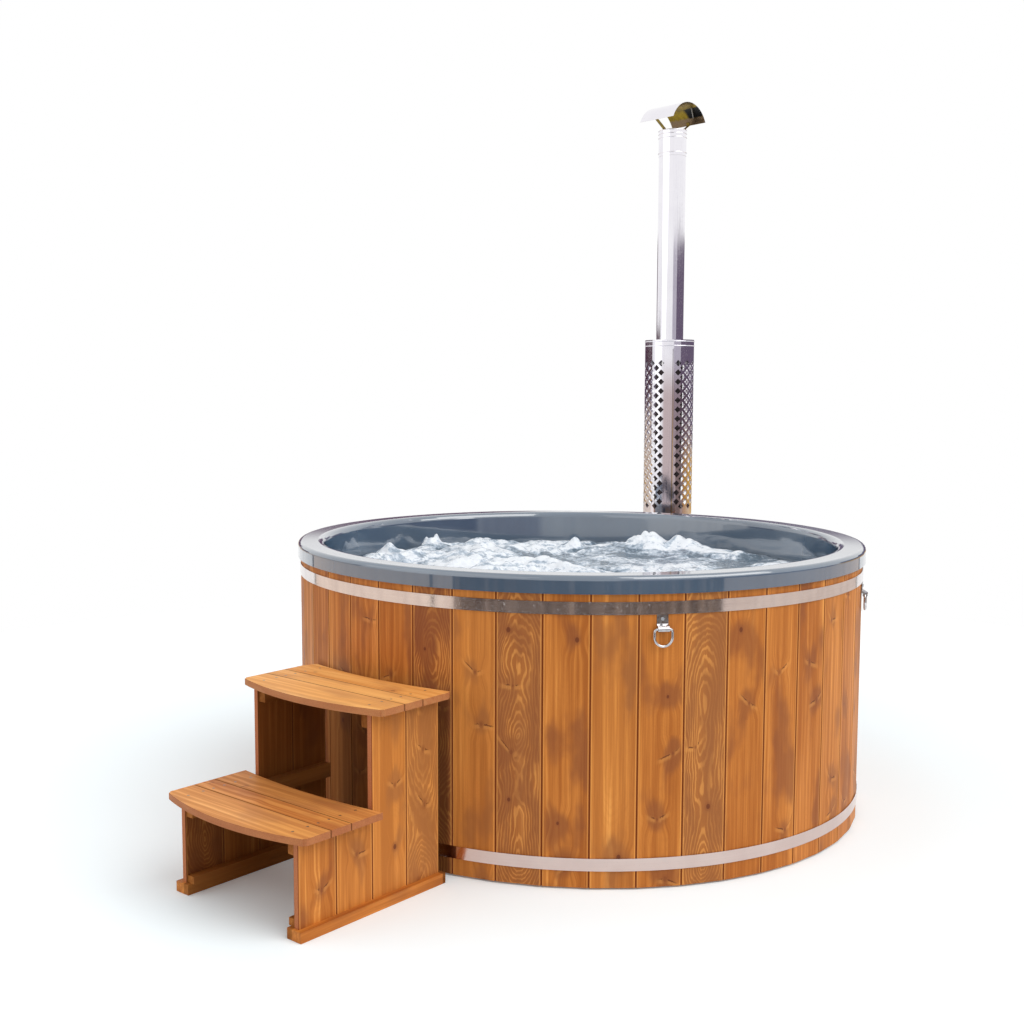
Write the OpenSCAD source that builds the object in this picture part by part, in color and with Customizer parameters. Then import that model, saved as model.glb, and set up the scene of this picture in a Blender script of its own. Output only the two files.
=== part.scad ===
// Round wood-fired hot tub: a moulded tub shell clad in upright boards, a free-standing
// pair of steps in front of it, and a water-jacketed stove with its flue behind it.
// Origin: on the ground at the tub's upright axis. +Z is up, -Y is the side with the steps.

/* [Tub cladding] */
// Diameter over the flat faces of the boards
tub_d = 1996; // [1700:4:2300]
// Number of upright boards round the tub
stave_count = 45; // [40:1:52]
// Thickness of a board
stave_t = 20; // [16:1:26]
// Bevel along the outer edges of a board
stave_bevel = 3; // [1:0.5:5]
// Free joint between two boards
stave_joint = 0.6; // [0.4:0.1:1.5]
// Height of the board ends above the ground
stave_foot = 5; // [3:1:12]
// Angle of the first joint between boards, from the front towards +X
stave_phase = 2.7; // [0:0.1:8]

/* [Hoops] */
// Height of a hoop band
hoop_h = 38; // [25:1:50]
// Thickness of a hoop band
hoop_t = 2; // [1:0.5:4]
// Middle of the upper hoop above the ground
hoop_high = 841; // [780:1:850]
// Middle of the lower hoop above the ground
hoop_low = 76; // [60:1:160]
// Direction of the hoop fastenings, from the front towards +X
hoop_lock_az = 234.7; // [225:0.1:240]

/* [Tub shell] */
// Height of the top of the rim
rim_top = 937; // [920:1:980]
// Outside radius of the rim beyond the board faces
rim_out = 12; // [8:1:20]
// Height of the side face of the rim
rim_skirt = 54; // [40:1:60]
// Width of the rim, from its side face to the water
rim_w = 97; // [85:1:120]
// Wall thickness of the moulded shell
shell_t = 6; // [4:0.5:9]
// Height of the bench seat
bench_z = 460; // [400:5:500]
// Width of the bench seat, from the bath wall to the edge of the footwell
bench_w = 343; // [330:1:420]
// How far the bath wall leans in from rim to bench
wall_lean = 35; // [20:1:60]
// Radius of the hollow corners of the shell
corner_r = 40; // [25:1:60]

/* [Base] */
// Height of the bearers
bearer_h = 72; // [60:1:100]
// Width of the bearers
bearer_w = 95; // [60:1:120]
// Spacing of the bearers
bearer_pitch = 350; // [280:5:380]
// Thickness of the base deck
deck_t = 18; // [12:1:30]
// Side length of a bench post
post_w = 70; // [45:1:90]
// Number of bench posts
post_count = 8; // [6:1:8]
// Free space between the air ring and the bench posts
post_gap = 53; // [40:1:80]

/* [Cover lugs] */
// Directions of the lugs with rings, from the front towards +X
lug_az = [14.7, 74.7, 194.7, 254.7];
// Width of a lug plate
lug_w = 35; // [25:1:42]
// Thickness of a lug plate
lug_t = 3; // [2:0.5:4]
// Height of the eye of a lug above the ground
eye_z = 779; // [760:1:783]
// Distance of the eye from the board face
eye_out = 12; // [11:0.5:16]
// Thickness of the ring wire
wire_d = 8; // [6:0.5:9]
// Width of a ring, outside
ring_w = 62; // [56:1:70]

/* [Drain] */
// Sideways place of the drain
drain_x = -175; // [-185:1:-150]
// Outside radius of the drain pipe
drain_r = 20; // [16:1:20]
// Height of the middle of the drain pipe
drain_z = 34; // [30:1:34]

/* [Heating and air] */
// Outside radius of the water pipes
pipe_r = 25; // [20:1:28]
// Height of the return pipe from the footwell
cold_z = 200; // [190:5:260]
// Height of the feed pipe above the bench
hot_z = 610; // [580:5:680]
// Number of air nozzles in the bench
nozzle_count = 12; // [8:1:16]
// Distance of the air nozzles from the bath wall
nozzle_in = 278; // [250:1:300]
// Radius of the tube of the air ring
air_tube_r = 12; // [8:1:14]
// Radius of the air blower's housing
blower_r = 90; // [80:1:100]
// Height of the air blower's housing
blower_h = 150; // [130:5:180]

/* [Stove] */
// Direction of the stove, from +Y towards +X
stove_az = 18.5; // [15:0.1:25]
// Free space between the board faces and the stove
stove_gap = 122; // [110:1:180]
// Width of the stove
stove_w = 400; // [380:10:480]
// Depth of the water jacket
stove_d = 470; // [450:10:560]
// Height of the stove's legs
leg_h = 130; // [120:5:160]
// Height of the water jacket
jacket_h = 680; // [660:5:720]
// Thickness of the water space
water_gap = 45; // [30:1:50]
// Thickness of the stove's plates
plate_t = 4; // [3:0.5:6]
// Height of the fire grate above the firebox floor
grate_z = 106; // [104:1:130]
// Pull of the ash drawer
drawer_travel = 300; // [200:10:320]

/* [Flue] */
// Distance from the stove's back face to the flue axis
flue_inset = 200; // [180:5:220]
// Outside radius of the flue pipe
flue_r = 60; // [55:1:65]
// Wall of the flue pipe
flue_t = 1; // [0.8:0.1:2]
// Top of the flue pipe above the ground
flue_top = 2600; // [2400:10:2800]
// Outside radius of the heat guard
guard_r = 109; // [100:1:120]
// Lower end of the heat guard above the ground
guard_low = 905; // [900:1:960]
// Upper end of the heat guard above the ground
guard_high = 1692; // [1500:4:1800]
// Direction of the plain strip of the guard, from the front towards +X
guard_strip_az = -6.5; // [-90:0.5:90]
// Direction of the hood's ridge, from +X towards -Y
hood_az = 43; // [0:1:90]
// Length of the hood
hood_len = 186; // [160:1:220]
// Width of the hood across its lower edges
hood_w = 226; // [200:1:260]
// Rise of the hood above its lower edges
hood_rise = 75; // [70:1:100]

/* [Steps] */
// Direction of the steps, from the front towards -X
steps_az = 36; // [30:1:40]
// Free space between the board faces and the step rails
steps_gap = 24; // [15:1:60]
// Width of a board in the side panels
side_board_w = 140; // [120:1:160]
// Thickness of the boards in the side panels
side_board_t = 18; // [14:1:22]
// Distance between the outer faces of the side panels
steps_w = 512; // [460:2:560]
// Width of the treads
tread_w = 600; // [560:2:640]
// Thickness of the treads
tread_t = 20; // [16:1:28]
// Top of the lower tread above the ground
tread_low = 295; // [260:1:320]
// Top of the upper tread above the ground
tread_high = 587; // [540:1:620]
// Height of the ground rails
rail_h = 31; // [25:1:40]
// Width of the ground rails
rail_w = 56; // [50:1:70]

/* [Hidden] */
$fn = 96;
fine = 0.3;
hair = 0.05;
eps = 1;
cut_over = 30;

apothem = tub_d / 2;
stave_step = 360 / stave_count;
stave_inner = apothem - stave_t;
outer_half = apothem * tan(stave_step / 2) - stave_joint / 2;
hoop_ri = sqrt(pow(apothem, 2) + pow(outer_half - stave_bevel, 2)) + fine;
hoop_ro = hoop_ri + hoop_t;
rim_r = apothem + rim_out;
rim_edge_r = 15;
lip_r = 25;
rim_under = rim_top - shell_t;
stave_top = rim_under - shell_t;
mouth_r = rim_r - rim_w;
bench_r = mouth_r - wall_lean;
nose_r = 30;
well_lean = 15;
well_r = bench_r - bench_w - nose_r - well_lean;
nozzle_circle_r = bench_r - nozzle_in;
post_r = nozzle_circle_r + air_tube_r + post_gap + post_w / 2;
deck_r = stave_inner - 0.5;
deck_z = bearer_h;
floor_z = bearer_h + deck_t;
bearer_round = deck_r - 6;
flue_y = apothem + stove_gap + flue_inset;
stove_y = apothem + stove_gap;
front_y = stove_y + stove_d;
jacket_z = leg_h;
jacket_top = jacket_z + jacket_h;
fire_wall = 2 * plate_t + water_gap;
fire_half = stove_w / 2 - fire_wall;
fire_z = jacket_z + 60;
fire_top = jacket_top - fire_wall;
front_t = 6;
stub_len = 45;
stub_gap = 15;
stub_end = stove_y - stub_len;
tub_pipe_end = stub_end - stub_gap;
sleeve_t = 6;
sleeve_lap = 26;
pipe_wall = 4;
pipe_clear = 2;

// Places round the tub: children are drawn with -Y pointing outwards
module around(az) { rotate([0, 0, az]) children(); }
// The stove's place: children are drawn with +Y pointing away from the tub
module at_stove() { rotate([0, 0, -stove_az]) children(); }
// The place of the steps: children are drawn with -Y pointing away from the tub
module at_steps() { rotate([0, 0, -steps_az]) children(); }
// A round bar along Y from y0 to y1
module bar_y(r, y0, y1) { translate([0, y0, 0]) rotate([-90, 0, 0]) cylinder(r = r, h = y1 - y0); }
// A round bar along X, centred
module bar_x(r, len) { rotate([0, 90, 0]) cylinder(r = r, h = len, center = true); }
// A box given by its middle in X and its limits in Y and Z
module block(w, y0, y1, z0, z1) { translate([-w / 2, y0, z0]) cube([w, y1 - y0, z1 - z0]); }
// A pipe wall
module tube(ro, ri, h) {
    difference() {
        cylinder(r = ro, h = h);
        translate([0, 0, -eps]) cylinder(r = ri, h = h + 2 * eps);
    }
}
// Points along an arc, for outlines
function arc(c, r, a0, a1, n = 8) = [for (i = [0 : n]) let (a = a0 + (a1 - a0) * i / n)
    [c[0] + r * cos(a), c[1] + r * sin(a)]];

// Outline of the water side of the shell; out moves it outwards to its hidden side
function shell_line(out) = concat(
    [[rim_r - out, rim_top - rim_skirt]],
    arc([rim_r - rim_edge_r, rim_top - rim_edge_r], rim_edge_r - out, 0, 90),
    arc([mouth_r + lip_r, rim_top - lip_r], lip_r - out, 90, 180),
    arc([bench_r - corner_r, bench_z + corner_r], corner_r + out, 0, -90),
    arc([well_r + well_lean + nose_r, bench_z - nose_r], nose_r - out, 90, 180),
    arc([well_r - corner_r, floor_z + shell_t + corner_r], corner_r + out, 0, -90),
    [[0, floor_z + shell_t - out]]);
// Radius of the hidden side of the bath wall at height z
function wall_r(z) = bench_r + shell_t
    + (mouth_r - bench_r) * (z - bench_z - corner_r) / (rim_top - lip_r - bench_z - corner_r);
// Radius of the hidden side of the footwell wall at height z
function well_wall_r(z) = well_r + shell_t
    + well_lean * (z - floor_z - shell_t - corner_r) / (bench_z - nose_r - floor_z - shell_t - corner_r);

nozzle_stem_r = 8;
fitting_flange_r = 45;
fitting_hole_r = pipe_r + fine;
drain_flange_r = 40;
drain_hole_r = drain_r + fine;

module tub_liner() {
    color("slategray") difference() {
        rotate_extrude($fn = 192) polygon(concat(shell_line(0), reverse(shell_line(shell_t))));
        at_stove() for (z = [cold_z, hot_z])
            translate([0, 0, z]) bar_y(fitting_hole_r, well_r / 2, apothem);
        translate([drain_x, 0, deck_z]) cylinder(r = drain_hole_r, h = 2 * deck_t);
        at_nozzles() translate([0, 0, bench_z - 3 * shell_t])
            cylinder(r = nozzle_stem_r + fine, h = 4 * shell_t);
    }
}
function reverse(v) = [for (i = [len(v) - 1 : -1 : 0]) v[i]];
module at_nozzles() {
    for (i = [0 : nozzle_count - 1]) around((i + 0.5) * 360 / nozzle_count)
        translate([0, -nozzle_circle_r, 0]) children();
}

foam_low = bench_z + corner_r + 5;
foam_high = rim_top - 2 * lip_r;
module foam_insulation() {
    color("khaki") difference() {
        rotate_extrude($fn = 192) polygon([
            [wall_r(foam_low) + fine, foam_low], [deck_r, foam_low],
            [deck_r, foam_high], [wall_r(foam_high) + fine, foam_high]]);
        at_stove() translate([0, 0, hot_z]) bar_y(pipe_nut_r + pipe_clear, bench_r / 2, apothem);
    }
}

module stave(z0, z1) {
    inner_half = stave_inner * tan(stave_step / 2) - stave_joint / 2;
    translate([0, 0, z0]) linear_extrude(z1 - z0) polygon([
        [-inner_half, -stave_inner], [-outer_half, -(apothem - stave_bevel)],
        [-(outer_half - stave_bevel), -apothem], [outer_half - stave_bevel, -apothem],
        [outer_half, -(apothem - stave_bevel)], [inner_half, -stave_inner]]);
}
module staves() {
    color("peru") difference() {
        for (i = [0 : stave_count - 1]) around(stave_phase + (i + 0.5) * stave_step)
            stave(stave_foot, stave_top);
        at_stove() for (z = [cold_z, hot_z])
            translate([0, 0, z]) bar_y(pipe_r + pipe_clear, stave_inner - cut_over, apothem + cut_over);
        translate([drain_x, 0, drain_z])
            bar_y(drain_r + pipe_clear, stave_inner - 2 * cut_over, apothem + cut_over);
        around(gland_az) translate([0, 0, gland_z])
            bar_y(gland_r + fine, -apothem - cut_over, -stave_inner + cut_over);
        for (a = lug_az) around(a) translate([0, 0, screw_z])
            bar_y(screw_r + hair, -seat(a) - eps, -apothem + screw_len + eps);
    }
}

ear_t = 4;
ear_out = 24;
ear_gap = 18;
bolt_r = 4;
ear_y = hoop_ro + ear_out / 2;
module hoop(z) {
    gap_half = ear_gap / 2;
    color("silver") around(hoop_lock_az) translate([0, 0, z]) difference() {
        union() {
            translate([0, 0, -hoop_h / 2]) difference() {
                tube(hoop_ro, hoop_ri, hoop_h);
                block(ear_gap, -hoop_ro - eps, -hoop_ri / 2, -eps, hoop_h + eps);
            }
            for (side = [-1, 1]) translate([side * (gap_half + ear_t / 2), 0, 0])
                block(ear_t, -hoop_ro - ear_out, -hoop_ri - hoop_t / 2, -hoop_h / 2, hoop_h / 2);
        }
        translate([0, -ear_y, 0]) bar_x(bolt_r + fine, 4 * ear_gap);
    }
}
module upper_hoop() { hoop(hoop_high); }
module lower_hoop() { hoop(hoop_low); }
module hoop_bolts() {
    nut_t = 7;
    reach = ear_gap / 2 + ear_t;
    color("gray") for (z = [hoop_low, hoop_high]) around(hoop_lock_az) translate([0, -ear_y, z]) {
        translate([nut_t / 2, 0, 0]) bar_x(bolt_r, 2 * reach + 2 * nut_t);
        for (side = [-1, 1]) translate([side * (reach + nut_t / 2), 0, 0]) rotate([0, 90, 0])
            cylinder(r = 7.5, h = nut_t, center = true, $fn = 6);
    }
}

module bearers() {
    color("burlywood") intersection() {
        cylinder(r = bearer_round, h = bearer_h);
        for (i = [-2 : 2]) translate([i * bearer_pitch, 0, 0])
            block(bearer_w, -bearer_round, bearer_round, 0, bearer_h);
    }
}
module base_deck() {
    color("tan") translate([0, 0, deck_z]) difference() {
        cylinder(r = deck_r, h = deck_t, $fn = 192);
        translate([drain_x, 0, -eps]) cylinder(r = drain_nut_r + pipe_clear, h = deck_t + 2 * eps);
    }
}
module bench_posts() {
    color("burlywood") for (i = [0 : post_count - 1]) around(i * 360 / post_count)
        block(post_w, -post_r - post_w / 2, -post_r + post_w / 2, floor_z, bench_z - shell_t);
}

// Distance from the axis at which a lug plate rests on the board faces in the direction az
function seat(az) = let (
    middle = (floor((az - stave_phase) / stave_step) + 0.5) * stave_step,
    off = abs(az - stave_phase - middle),
    reach = min(outer_half - stave_bevel, apothem * tan(off) + lug_w / 2 / cos(off)))
    apothem * cos(off) + reach * sin(off) + hair;
screw_r = 2;
screw_len = 15;
screw_head_r = 4.5;
screw_head_t = 2.5;
slot_w = 1;
slot_half = 3;
eye_r = wire_d / 2 + 4;
eye_bore_r = wire_d / 2 + 0.6;
lug_top = hoop_high - hoop_h / 2 - 0.5;
screw_z = lug_top - 13;
// One lug, standing on the distance base from the axis
module lug_plate(base) {
    knee_z = eye_z + 9;
    face = -(base + lug_t);
    eye_y = -(base + eye_out);
    difference() {
        union() {
            block(lug_w, face, -base, knee_z, lug_top);
            translate([-lug_w / 2, 0, 0]) rotate([90, 0, 90]) linear_extrude(lug_w) polygon([
                [-base, knee_z + 3], [face, knee_z + 6],
                [eye_y - eye_r * 0.6, eye_z + eye_r * 0.8], [eye_y, eye_z], [-base, knee_z - 2]]);
            translate([0, eye_y, eye_z]) bar_x(eye_r, lug_w);
        }
        translate([0, eye_y, eye_z]) bar_x(eye_bore_r, lug_w + 2 * eps);
        translate([0, 0, screw_z]) bar_y(screw_r + hair, face - eps, -base + eps);
    }
}
module lug_plates() { color("silver") for (a = lug_az) around(a) lug_plate(seat(a)); }
module lug_screw(face) {
    head = face - screw_head_t;
    slot_end = head + screw_head_t / 2;
    bar_y(screw_r, face - eps, -apothem + screw_len);
    difference() {
        bar_y(screw_head_r, head, face);
        for (turn = [0, 90]) rotate([0, turn, 0]) block(slot_w, head - eps, slot_end, -slot_half, slot_half);
    }
}
module lug_screws() {
    color("gray") for (a = lug_az) around(a) translate([0, 0, screw_z]) lug_screw(-(seat(a) + lug_t));
}

// A ring hanging from the eye of a lug: a straight bar, two sides and a half circle
ring_side = 23;
module d_ring(az) {
    wire_r = wire_d / 2;
    bow_r = ring_w / 2 - wire_r;
    bend_r = wire_d;
    color("gainsboro") around(az) translate([0, -(seat(az) + eye_out), eye_z]) {
        bar_x(wire_r, 2 * (bow_r - bend_r));
        for (side = [-1, 1]) {
            translate([side * bow_r, 0, -ring_side]) cylinder(r = wire_r, h = ring_side - bend_r);
            translate([side * (bow_r - bend_r), 0, -bend_r]) rotate([90, side < 0 ? -90 : 0, 0])
                rotate_extrude(angle = 90) translate([bend_r, 0]) circle(r = wire_r, $fn = 24);
        }
        translate([0, 0, -ring_side]) rotate([90, 180, 0])
            rotate_extrude(angle = 180) translate([bow_r, 0]) circle(r = wire_r, $fn = 24);
    }
}
module d_ring_1() { d_ring(lug_az[0]); }
module d_ring_2() { d_ring(lug_az[1]); }
module d_ring_3() { d_ring(lug_az[2]); }
module d_ring_4() { d_ring(lug_az[3]); }

// The drain: a sieve in the footwell, a pipe between the bearers, and a ball valve outside
drain_nut_r = 32;
drain_bore_r = drain_r - 3;
drain_top = floor_z + shell_t;
valve_y = sqrt(pow(apothem + 44, 2) - pow(drain_x, 2));
valve_len = 60;
valve_r = 25;
lever_z = drain_z + valve_r;
lever_hub_r = 11;
lever_len = 72;
lever_w = 16;
valve_stem_r = 4;
tail_len = 36;
module drain_flange() {
    color("whitesmoke") translate([drain_x, 0, 0]) difference() {
        union() {
            translate([0, 0, drain_top]) cylinder(r1 = drain_flange_r, r2 = drain_flange_r - 4, h = 5);
            translate([0, 0, deck_z + 2]) cylinder(r = drain_r, h = drain_top - deck_z);
        }
        translate([0, 0, deck_z]) cylinder(r = drain_bore_r, h = drain_top - deck_z - 2);
        for (a = [0 : 60 : 300]) rotate([0, 0, a]) translate([10, 0, deck_z]) cylinder(r = 3.5, h = 60);
    }
}
module drain_pipe() {
    color("dimgray") translate([drain_x, 0, 0]) difference() {
        union() {
            translate([0, 0, drain_z]) cylinder(r = drain_r, h = deck_z + 2 - drain_z);
            translate([0, 0, deck_z - 8]) cylinder(r = drain_nut_r, h = 8);
            translate([0, 0, drain_z]) sphere(r = drain_r);
            translate([0, 0, drain_z]) bar_y(drain_r, 0, valve_y - valve_len / 2);
        }
        translate([0, 0, drain_z]) cylinder(r = drain_bore_r, h = deck_z);
        translate([0, 0, drain_z]) sphere(r = drain_bore_r);
        translate([0, 0, drain_z]) bar_y(drain_bore_r, 0, valve_y);
    }
}
module drain_valve_body() {
    end_t = 12;
    color("firebrick") translate([drain_x, 0, drain_z]) difference() {
        union() {
            bar_y(valve_r - 3, valve_y - valve_len / 2, valve_y + valve_len / 2);
            for (y = [-valve_len / 2, valve_len / 2 - end_t]) translate([0, valve_y + y, 0])
                bar_y(valve_r, 0, end_t);
            translate([0, valve_y, 0]) cylinder(r = lever_hub_r, h = valve_r);
        }
        bar_y(drain_bore_r, valve_y - valve_len, valve_y + valve_len);
        translate([0, valve_y, 0]) cylinder(r = valve_stem_r + hair, h = valve_r + eps);
    }
}
module drain_lever() {
    stem_z = drain_z + drain_bore_r + eps;
    color("crimson") translate([drain_x, valve_y, 0]) {
        translate([0, 0, stem_z]) cylinder(r = valve_stem_r, h = lever_z + eps - stem_z);
        translate([0, 0, lever_z + fine]) {
            cylinder(r = lever_hub_r, h = 8);
            translate([-lever_len / 2, 0, 0]) block(lever_len, -lever_w / 2, lever_w / 2, 0, 5);
            translate([-lever_len, 0, 0]) cylinder(r = lever_w / 2, h = 5);
        }
    }
}
module drain_hose_tail() {
    start = valve_y + valve_len / 2;
    color("gray") translate([drain_x, 0, drain_z]) difference() {
        bar_y(drain_r, start, start + tail_len);
        bar_y(drain_bore_r, start - eps, start + tail_len + eps);
    }
}

// Wall fittings of the two water pipes, each with its sieve, flange and pipe
module fitting(z, wall, lean) {
    flange_t = 6;
    seat = wall - shell_t - pow(fitting_flange_r, 2) / (2 * (wall - shell_t)) - 1.5 * fine;
    difference() {
        union() {
            translate([0, seat, z]) rotate([-lean, 0, 0]) bar_y(fitting_flange_r, -flange_t, 0);
            translate([0, 0, z]) bar_y(pipe_r, seat - flange_t / 2, tub_pipe_end);
        }
        translate([0, 0, z]) bar_y(pipe_r - pipe_wall, seat - 1, tub_pipe_end + eps);
        for (x = [-12, -4, 4, 12]) translate([x, 0, z])
            block(4, seat - 2 * flange_t, seat + flange_t, -14, 14);
    }
}
wall_tilt = atan(wall_lean / (rim_top - lip_r - bench_z - corner_r));
well_tilt = atan(well_lean / (bench_z - nose_r - floor_z - shell_t - corner_r));
module water_fittings() {
    color("whitesmoke") at_stove() {
        fitting(cold_z, well_wall_r(cold_z), well_tilt);
        fitting(hot_z, wall_r(hot_z), wall_tilt);
    }
}
pipe_nut_r = pipe_r + 13;
pipe_nut_t = 12;
module pipe_nut(wall, z) {
    stand_off = pipe_nut_r * tan(wall_tilt) + 1;
    translate([0, wall + stand_off, z]) difference() {
        bar_y(pipe_nut_r, 0, pipe_nut_t);
        bar_y(pipe_r + hair, -eps, pipe_nut_t + eps);
    }
}
module pipe_nuts() {
    color("dimgray") at_stove() {
        pipe_nut(well_wall_r(cold_z), cold_z);
        pipe_nut(wall_r(hot_z), hot_z);
    }
}
module rubber_sleeves() {
    color("black") at_stove() for (z = [cold_z, hot_z]) translate([0, 0, z]) difference() {
        bar_y(pipe_r + sleeve_t, tub_pipe_end - sleeve_lap, stub_end + sleeve_lap);
        bar_y(pipe_r + hair, tub_pipe_end - sleeve_lap - eps, stub_end + sleeve_lap + eps);
    }
}
module hose_clamps() {
    band_r = pipe_r + sleeve_t + hair;
    band_t = 1.2;
    band_w = 12;
    inset = 6;
    screw_len = 26;
    color("silver") at_stove()
        for (z = [cold_z, hot_z], y = [tub_pipe_end - sleeve_lap + inset,
                stub_end + sleeve_lap - inset - band_w]) translate([0, y, z]) {
            difference() {
                bar_y(band_r + band_t, 0, band_w);
                bar_y(band_r, -eps, band_w + eps);
            }
            translate([0, 0, band_r + band_t / 2]) block(14, 0, band_w, 0, 8);
            translate([0, band_w / 2, band_r + 5]) bar_x(3, screw_len);
        }
}

// Air nozzles in the bench, fed by a ring of tube under it
air_ring_z = bench_z - 2 * shell_t - 4 - air_tube_r;
module air_nozzles() {
    stem_z = air_ring_z + air_tube_r + fine;
    color("silver") at_nozzles() {
        translate([0, 0, bench_z]) cylinder(r1 = 2 * nozzle_stem_r, r2 = 1.5 * nozzle_stem_r, h = 4);
        translate([0, 0, stem_z]) cylinder(r = nozzle_stem_r, h = bench_z + 2 - stem_z);
    }
}
module air_ring() {
    color("gray") rotate_extrude($fn = 96) translate([nozzle_circle_r, air_ring_z])
        circle(r = air_tube_r, $fn = 24);
}
gland_az = stave_phase + 26.5 * stave_step;
blower_az = (floor(post_count / 2) + 0.5) * 360 / post_count;
gland_z = 200;
gland_r = 8;
gland_out = 24;
gland_in = 10;
outlet_z = floor_z + 90;
spout_len = 12;
blower_wall = 3;
riser_gap = 60;
spout_gap = 26;
riser_y = -(nozzle_circle_r + air_tube_r + riser_gap);
blower_y = riser_y - spout_gap - spout_len - blower_r;
module blower_housing() {
    slot = [20, 12, 16];
    slot_z = 14;
    spout = outlet_z - floor_z;
    color("dimgray") around(blower_az) translate([0, blower_y, floor_z]) difference() {
        union() {
            cylinder(r = blower_r, h = blower_h);
            translate([0, 0, spout]) bar_y(air_tube_r + 6, 0, blower_r + spout_len);
        }
        translate([0, 0, -eps]) cylinder(r = blower_r - blower_wall, h = blower_h - blower_wall + eps);
        translate([0, 0, spout]) bar_y(air_tube_r, 0, blower_r + spout_len + eps);
        for (a = [0 : 30 : 330]) rotate([0, 0, a]) translate([blower_r, 0, slot_z]) cube(slot, center = true);
    }
}
rotor_z = floor_z + 34;
rotor_shaft_r = 6;
rotor_shaft_len = 56;
blade_h = 20;
motor_z = rotor_z + blade_h + 10;
module blower_motor() {
    color("silver") around(blower_az) translate([0, blower_y, 0]) difference() {
        translate([0, 0, motor_z]) cylinder(r = 42, h = floor_z + blower_h - blower_wall - motor_z);
        translate([0, 0, rotor_z]) cylinder(r = rotor_shaft_r + hair, h = rotor_shaft_len + 4);
    }
}
module blower_impeller() {
    blades = 8;
    blade_t = 3;
    hub_r = 16;
    disc_r = blower_r - blower_wall - 23;
    color("whitesmoke") around(blower_az) translate([0, blower_y, rotor_z]) {
        cylinder(r = disc_r, h = blade_t);
        cylinder(r = rotor_shaft_r, h = rotor_shaft_len);
        cylinder(r = hub_r, h = blade_h);
        for (i = [0 : blades - 1]) rotate([0, 0, i * 360 / blades])
            translate([hub_r - 2, -blade_t / 2, 0]) cube([disc_r - hub_r, blade_t, blade_h]);
    }
}
// The air hose from the blower up to the ring
module air_hose() {
    start = blower_y + blower_r + spout_len;
    hose_r = air_tube_r + 3;
    color("black") around(blower_az) {
        translate([0, 0, outlet_z]) bar_y(hose_r, start, riser_y);
        for (z = [outlet_z, air_ring_z]) translate([0, riser_y, z]) sphere(r = hose_r);
        translate([0, riser_y, outlet_z]) cylinder(r = hose_r, h = air_ring_z - outlet_z);
        translate([0, 0, air_ring_z]) bar_y(hose_r, riser_y, -(nozzle_circle_r + air_tube_r + fine));
    }
}
module cable_gland() {
    bore = 4.5;
    color("dimgray") around(gland_az) translate([0, 0, gland_z]) difference() {
        union() {
            bar_y(gland_r, -apothem - gland_out, -stave_inner + gland_in);
            translate([0, -apothem - 8, 0]) rotate([-90, 0, 0]) cylinder(r = 14, h = 8, $fn = 6);
            bar_y(12, -apothem - gland_out + 4, -apothem - 8);
        }
        bar_y(bore, -apothem - gland_out - eps, -stave_inner + gland_in + eps);
    }
}
button_az = stave_phase + 25.5 * stave_step;
button_z = 700;
button_r = 18;
button_travel = 4;
bezel_t = 14;
module button_bezel() {
    color("silver") around(button_az) translate([0, 0, button_z]) difference() {
        bar_y(button_r + 10, -apothem - bezel_t, -apothem);
        bar_y(button_r + fine, -apothem - bezel_t - eps, -apothem - 3);
    }
}
module air_button() {
    color("dimgray") around(button_az) translate([0, 0, button_z])
        bar_y(button_r, -apothem - bezel_t - button_travel, -apothem - 3 - button_travel - 0.5);
}

// The stove
flange_r = 95;
ash_half = 112;
ash_z = fire_z - 2;
ash_h = 92;
door_half = 120;
door_rise = 215;
door_z = fire_z + door_rise;
door_h = 290;
hinge_x = -(door_half + 32);
hinge_y = front_y + front_t + 10.5;
hinge_r = 9;
pin_r = 5;
knuckle_h = 30;
module stove_jacket() {
    cavity_half = stove_w / 2 - plate_t;
    ledge = 12;
    color("dimgray") at_stove() difference() {
        union() {
            difference() {
                block(stove_w, stove_y, front_y, jacket_z, jacket_top);
                block(2 * cavity_half, stove_y + plate_t, front_y - plate_t,
                    jacket_z + plate_t, jacket_top - plate_t);
            }
            difference() {
                block(2 * fire_half + 2 * plate_t, stove_y + fire_wall - plate_t, front_y,
                    fire_z - plate_t, fire_top + plate_t);
                block(2 * fire_half, stove_y + fire_wall, front_y + eps, fire_z, fire_top);
            }
            translate([0, flue_y, fire_top]) cylinder(r = flue_r + plate_t, h = jacket_top - fire_top);
            for (side = [-1, 1]) translate([side * (fire_half - ledge / 2), 0, 0])
                block(ledge, stove_y + fire_wall, front_y - 10, fire_z + grate_z - 8, fire_z + grate_z);
            for (z = [cold_z, hot_z]) translate([0, 0, z]) bar_y(pipe_r, stub_end, stove_y + plate_t);
        }
        block(2 * fire_half, front_y - plate_t - eps, front_y + eps, fire_z, fire_top);
        translate([0, flue_y, fire_top - plate_t]) cylinder(r = flue_r, h = jacket_top);
        for (z = [cold_z, hot_z]) translate([0, 0, z])
            bar_y(pipe_r - pipe_wall, stub_end - eps, stove_y + plate_t + eps);
    }
}
module stove_legs() {
    leg = 40;
    inset = 30;
    foot_over = 10;
    foot_t = 6;
    color("black") at_stove() for (sx = [-1, 1], y = [stove_y + inset, front_y - inset - leg])
        translate([sx * (stove_w / 2 - inset - leg / 2), 0, 0]) {
            block(leg, y, y + leg, foot_t, jacket_z);
            block(leg + 2 * foot_over, y - foot_over, y + leg + foot_over, 0, foot_t);
        }
}
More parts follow.
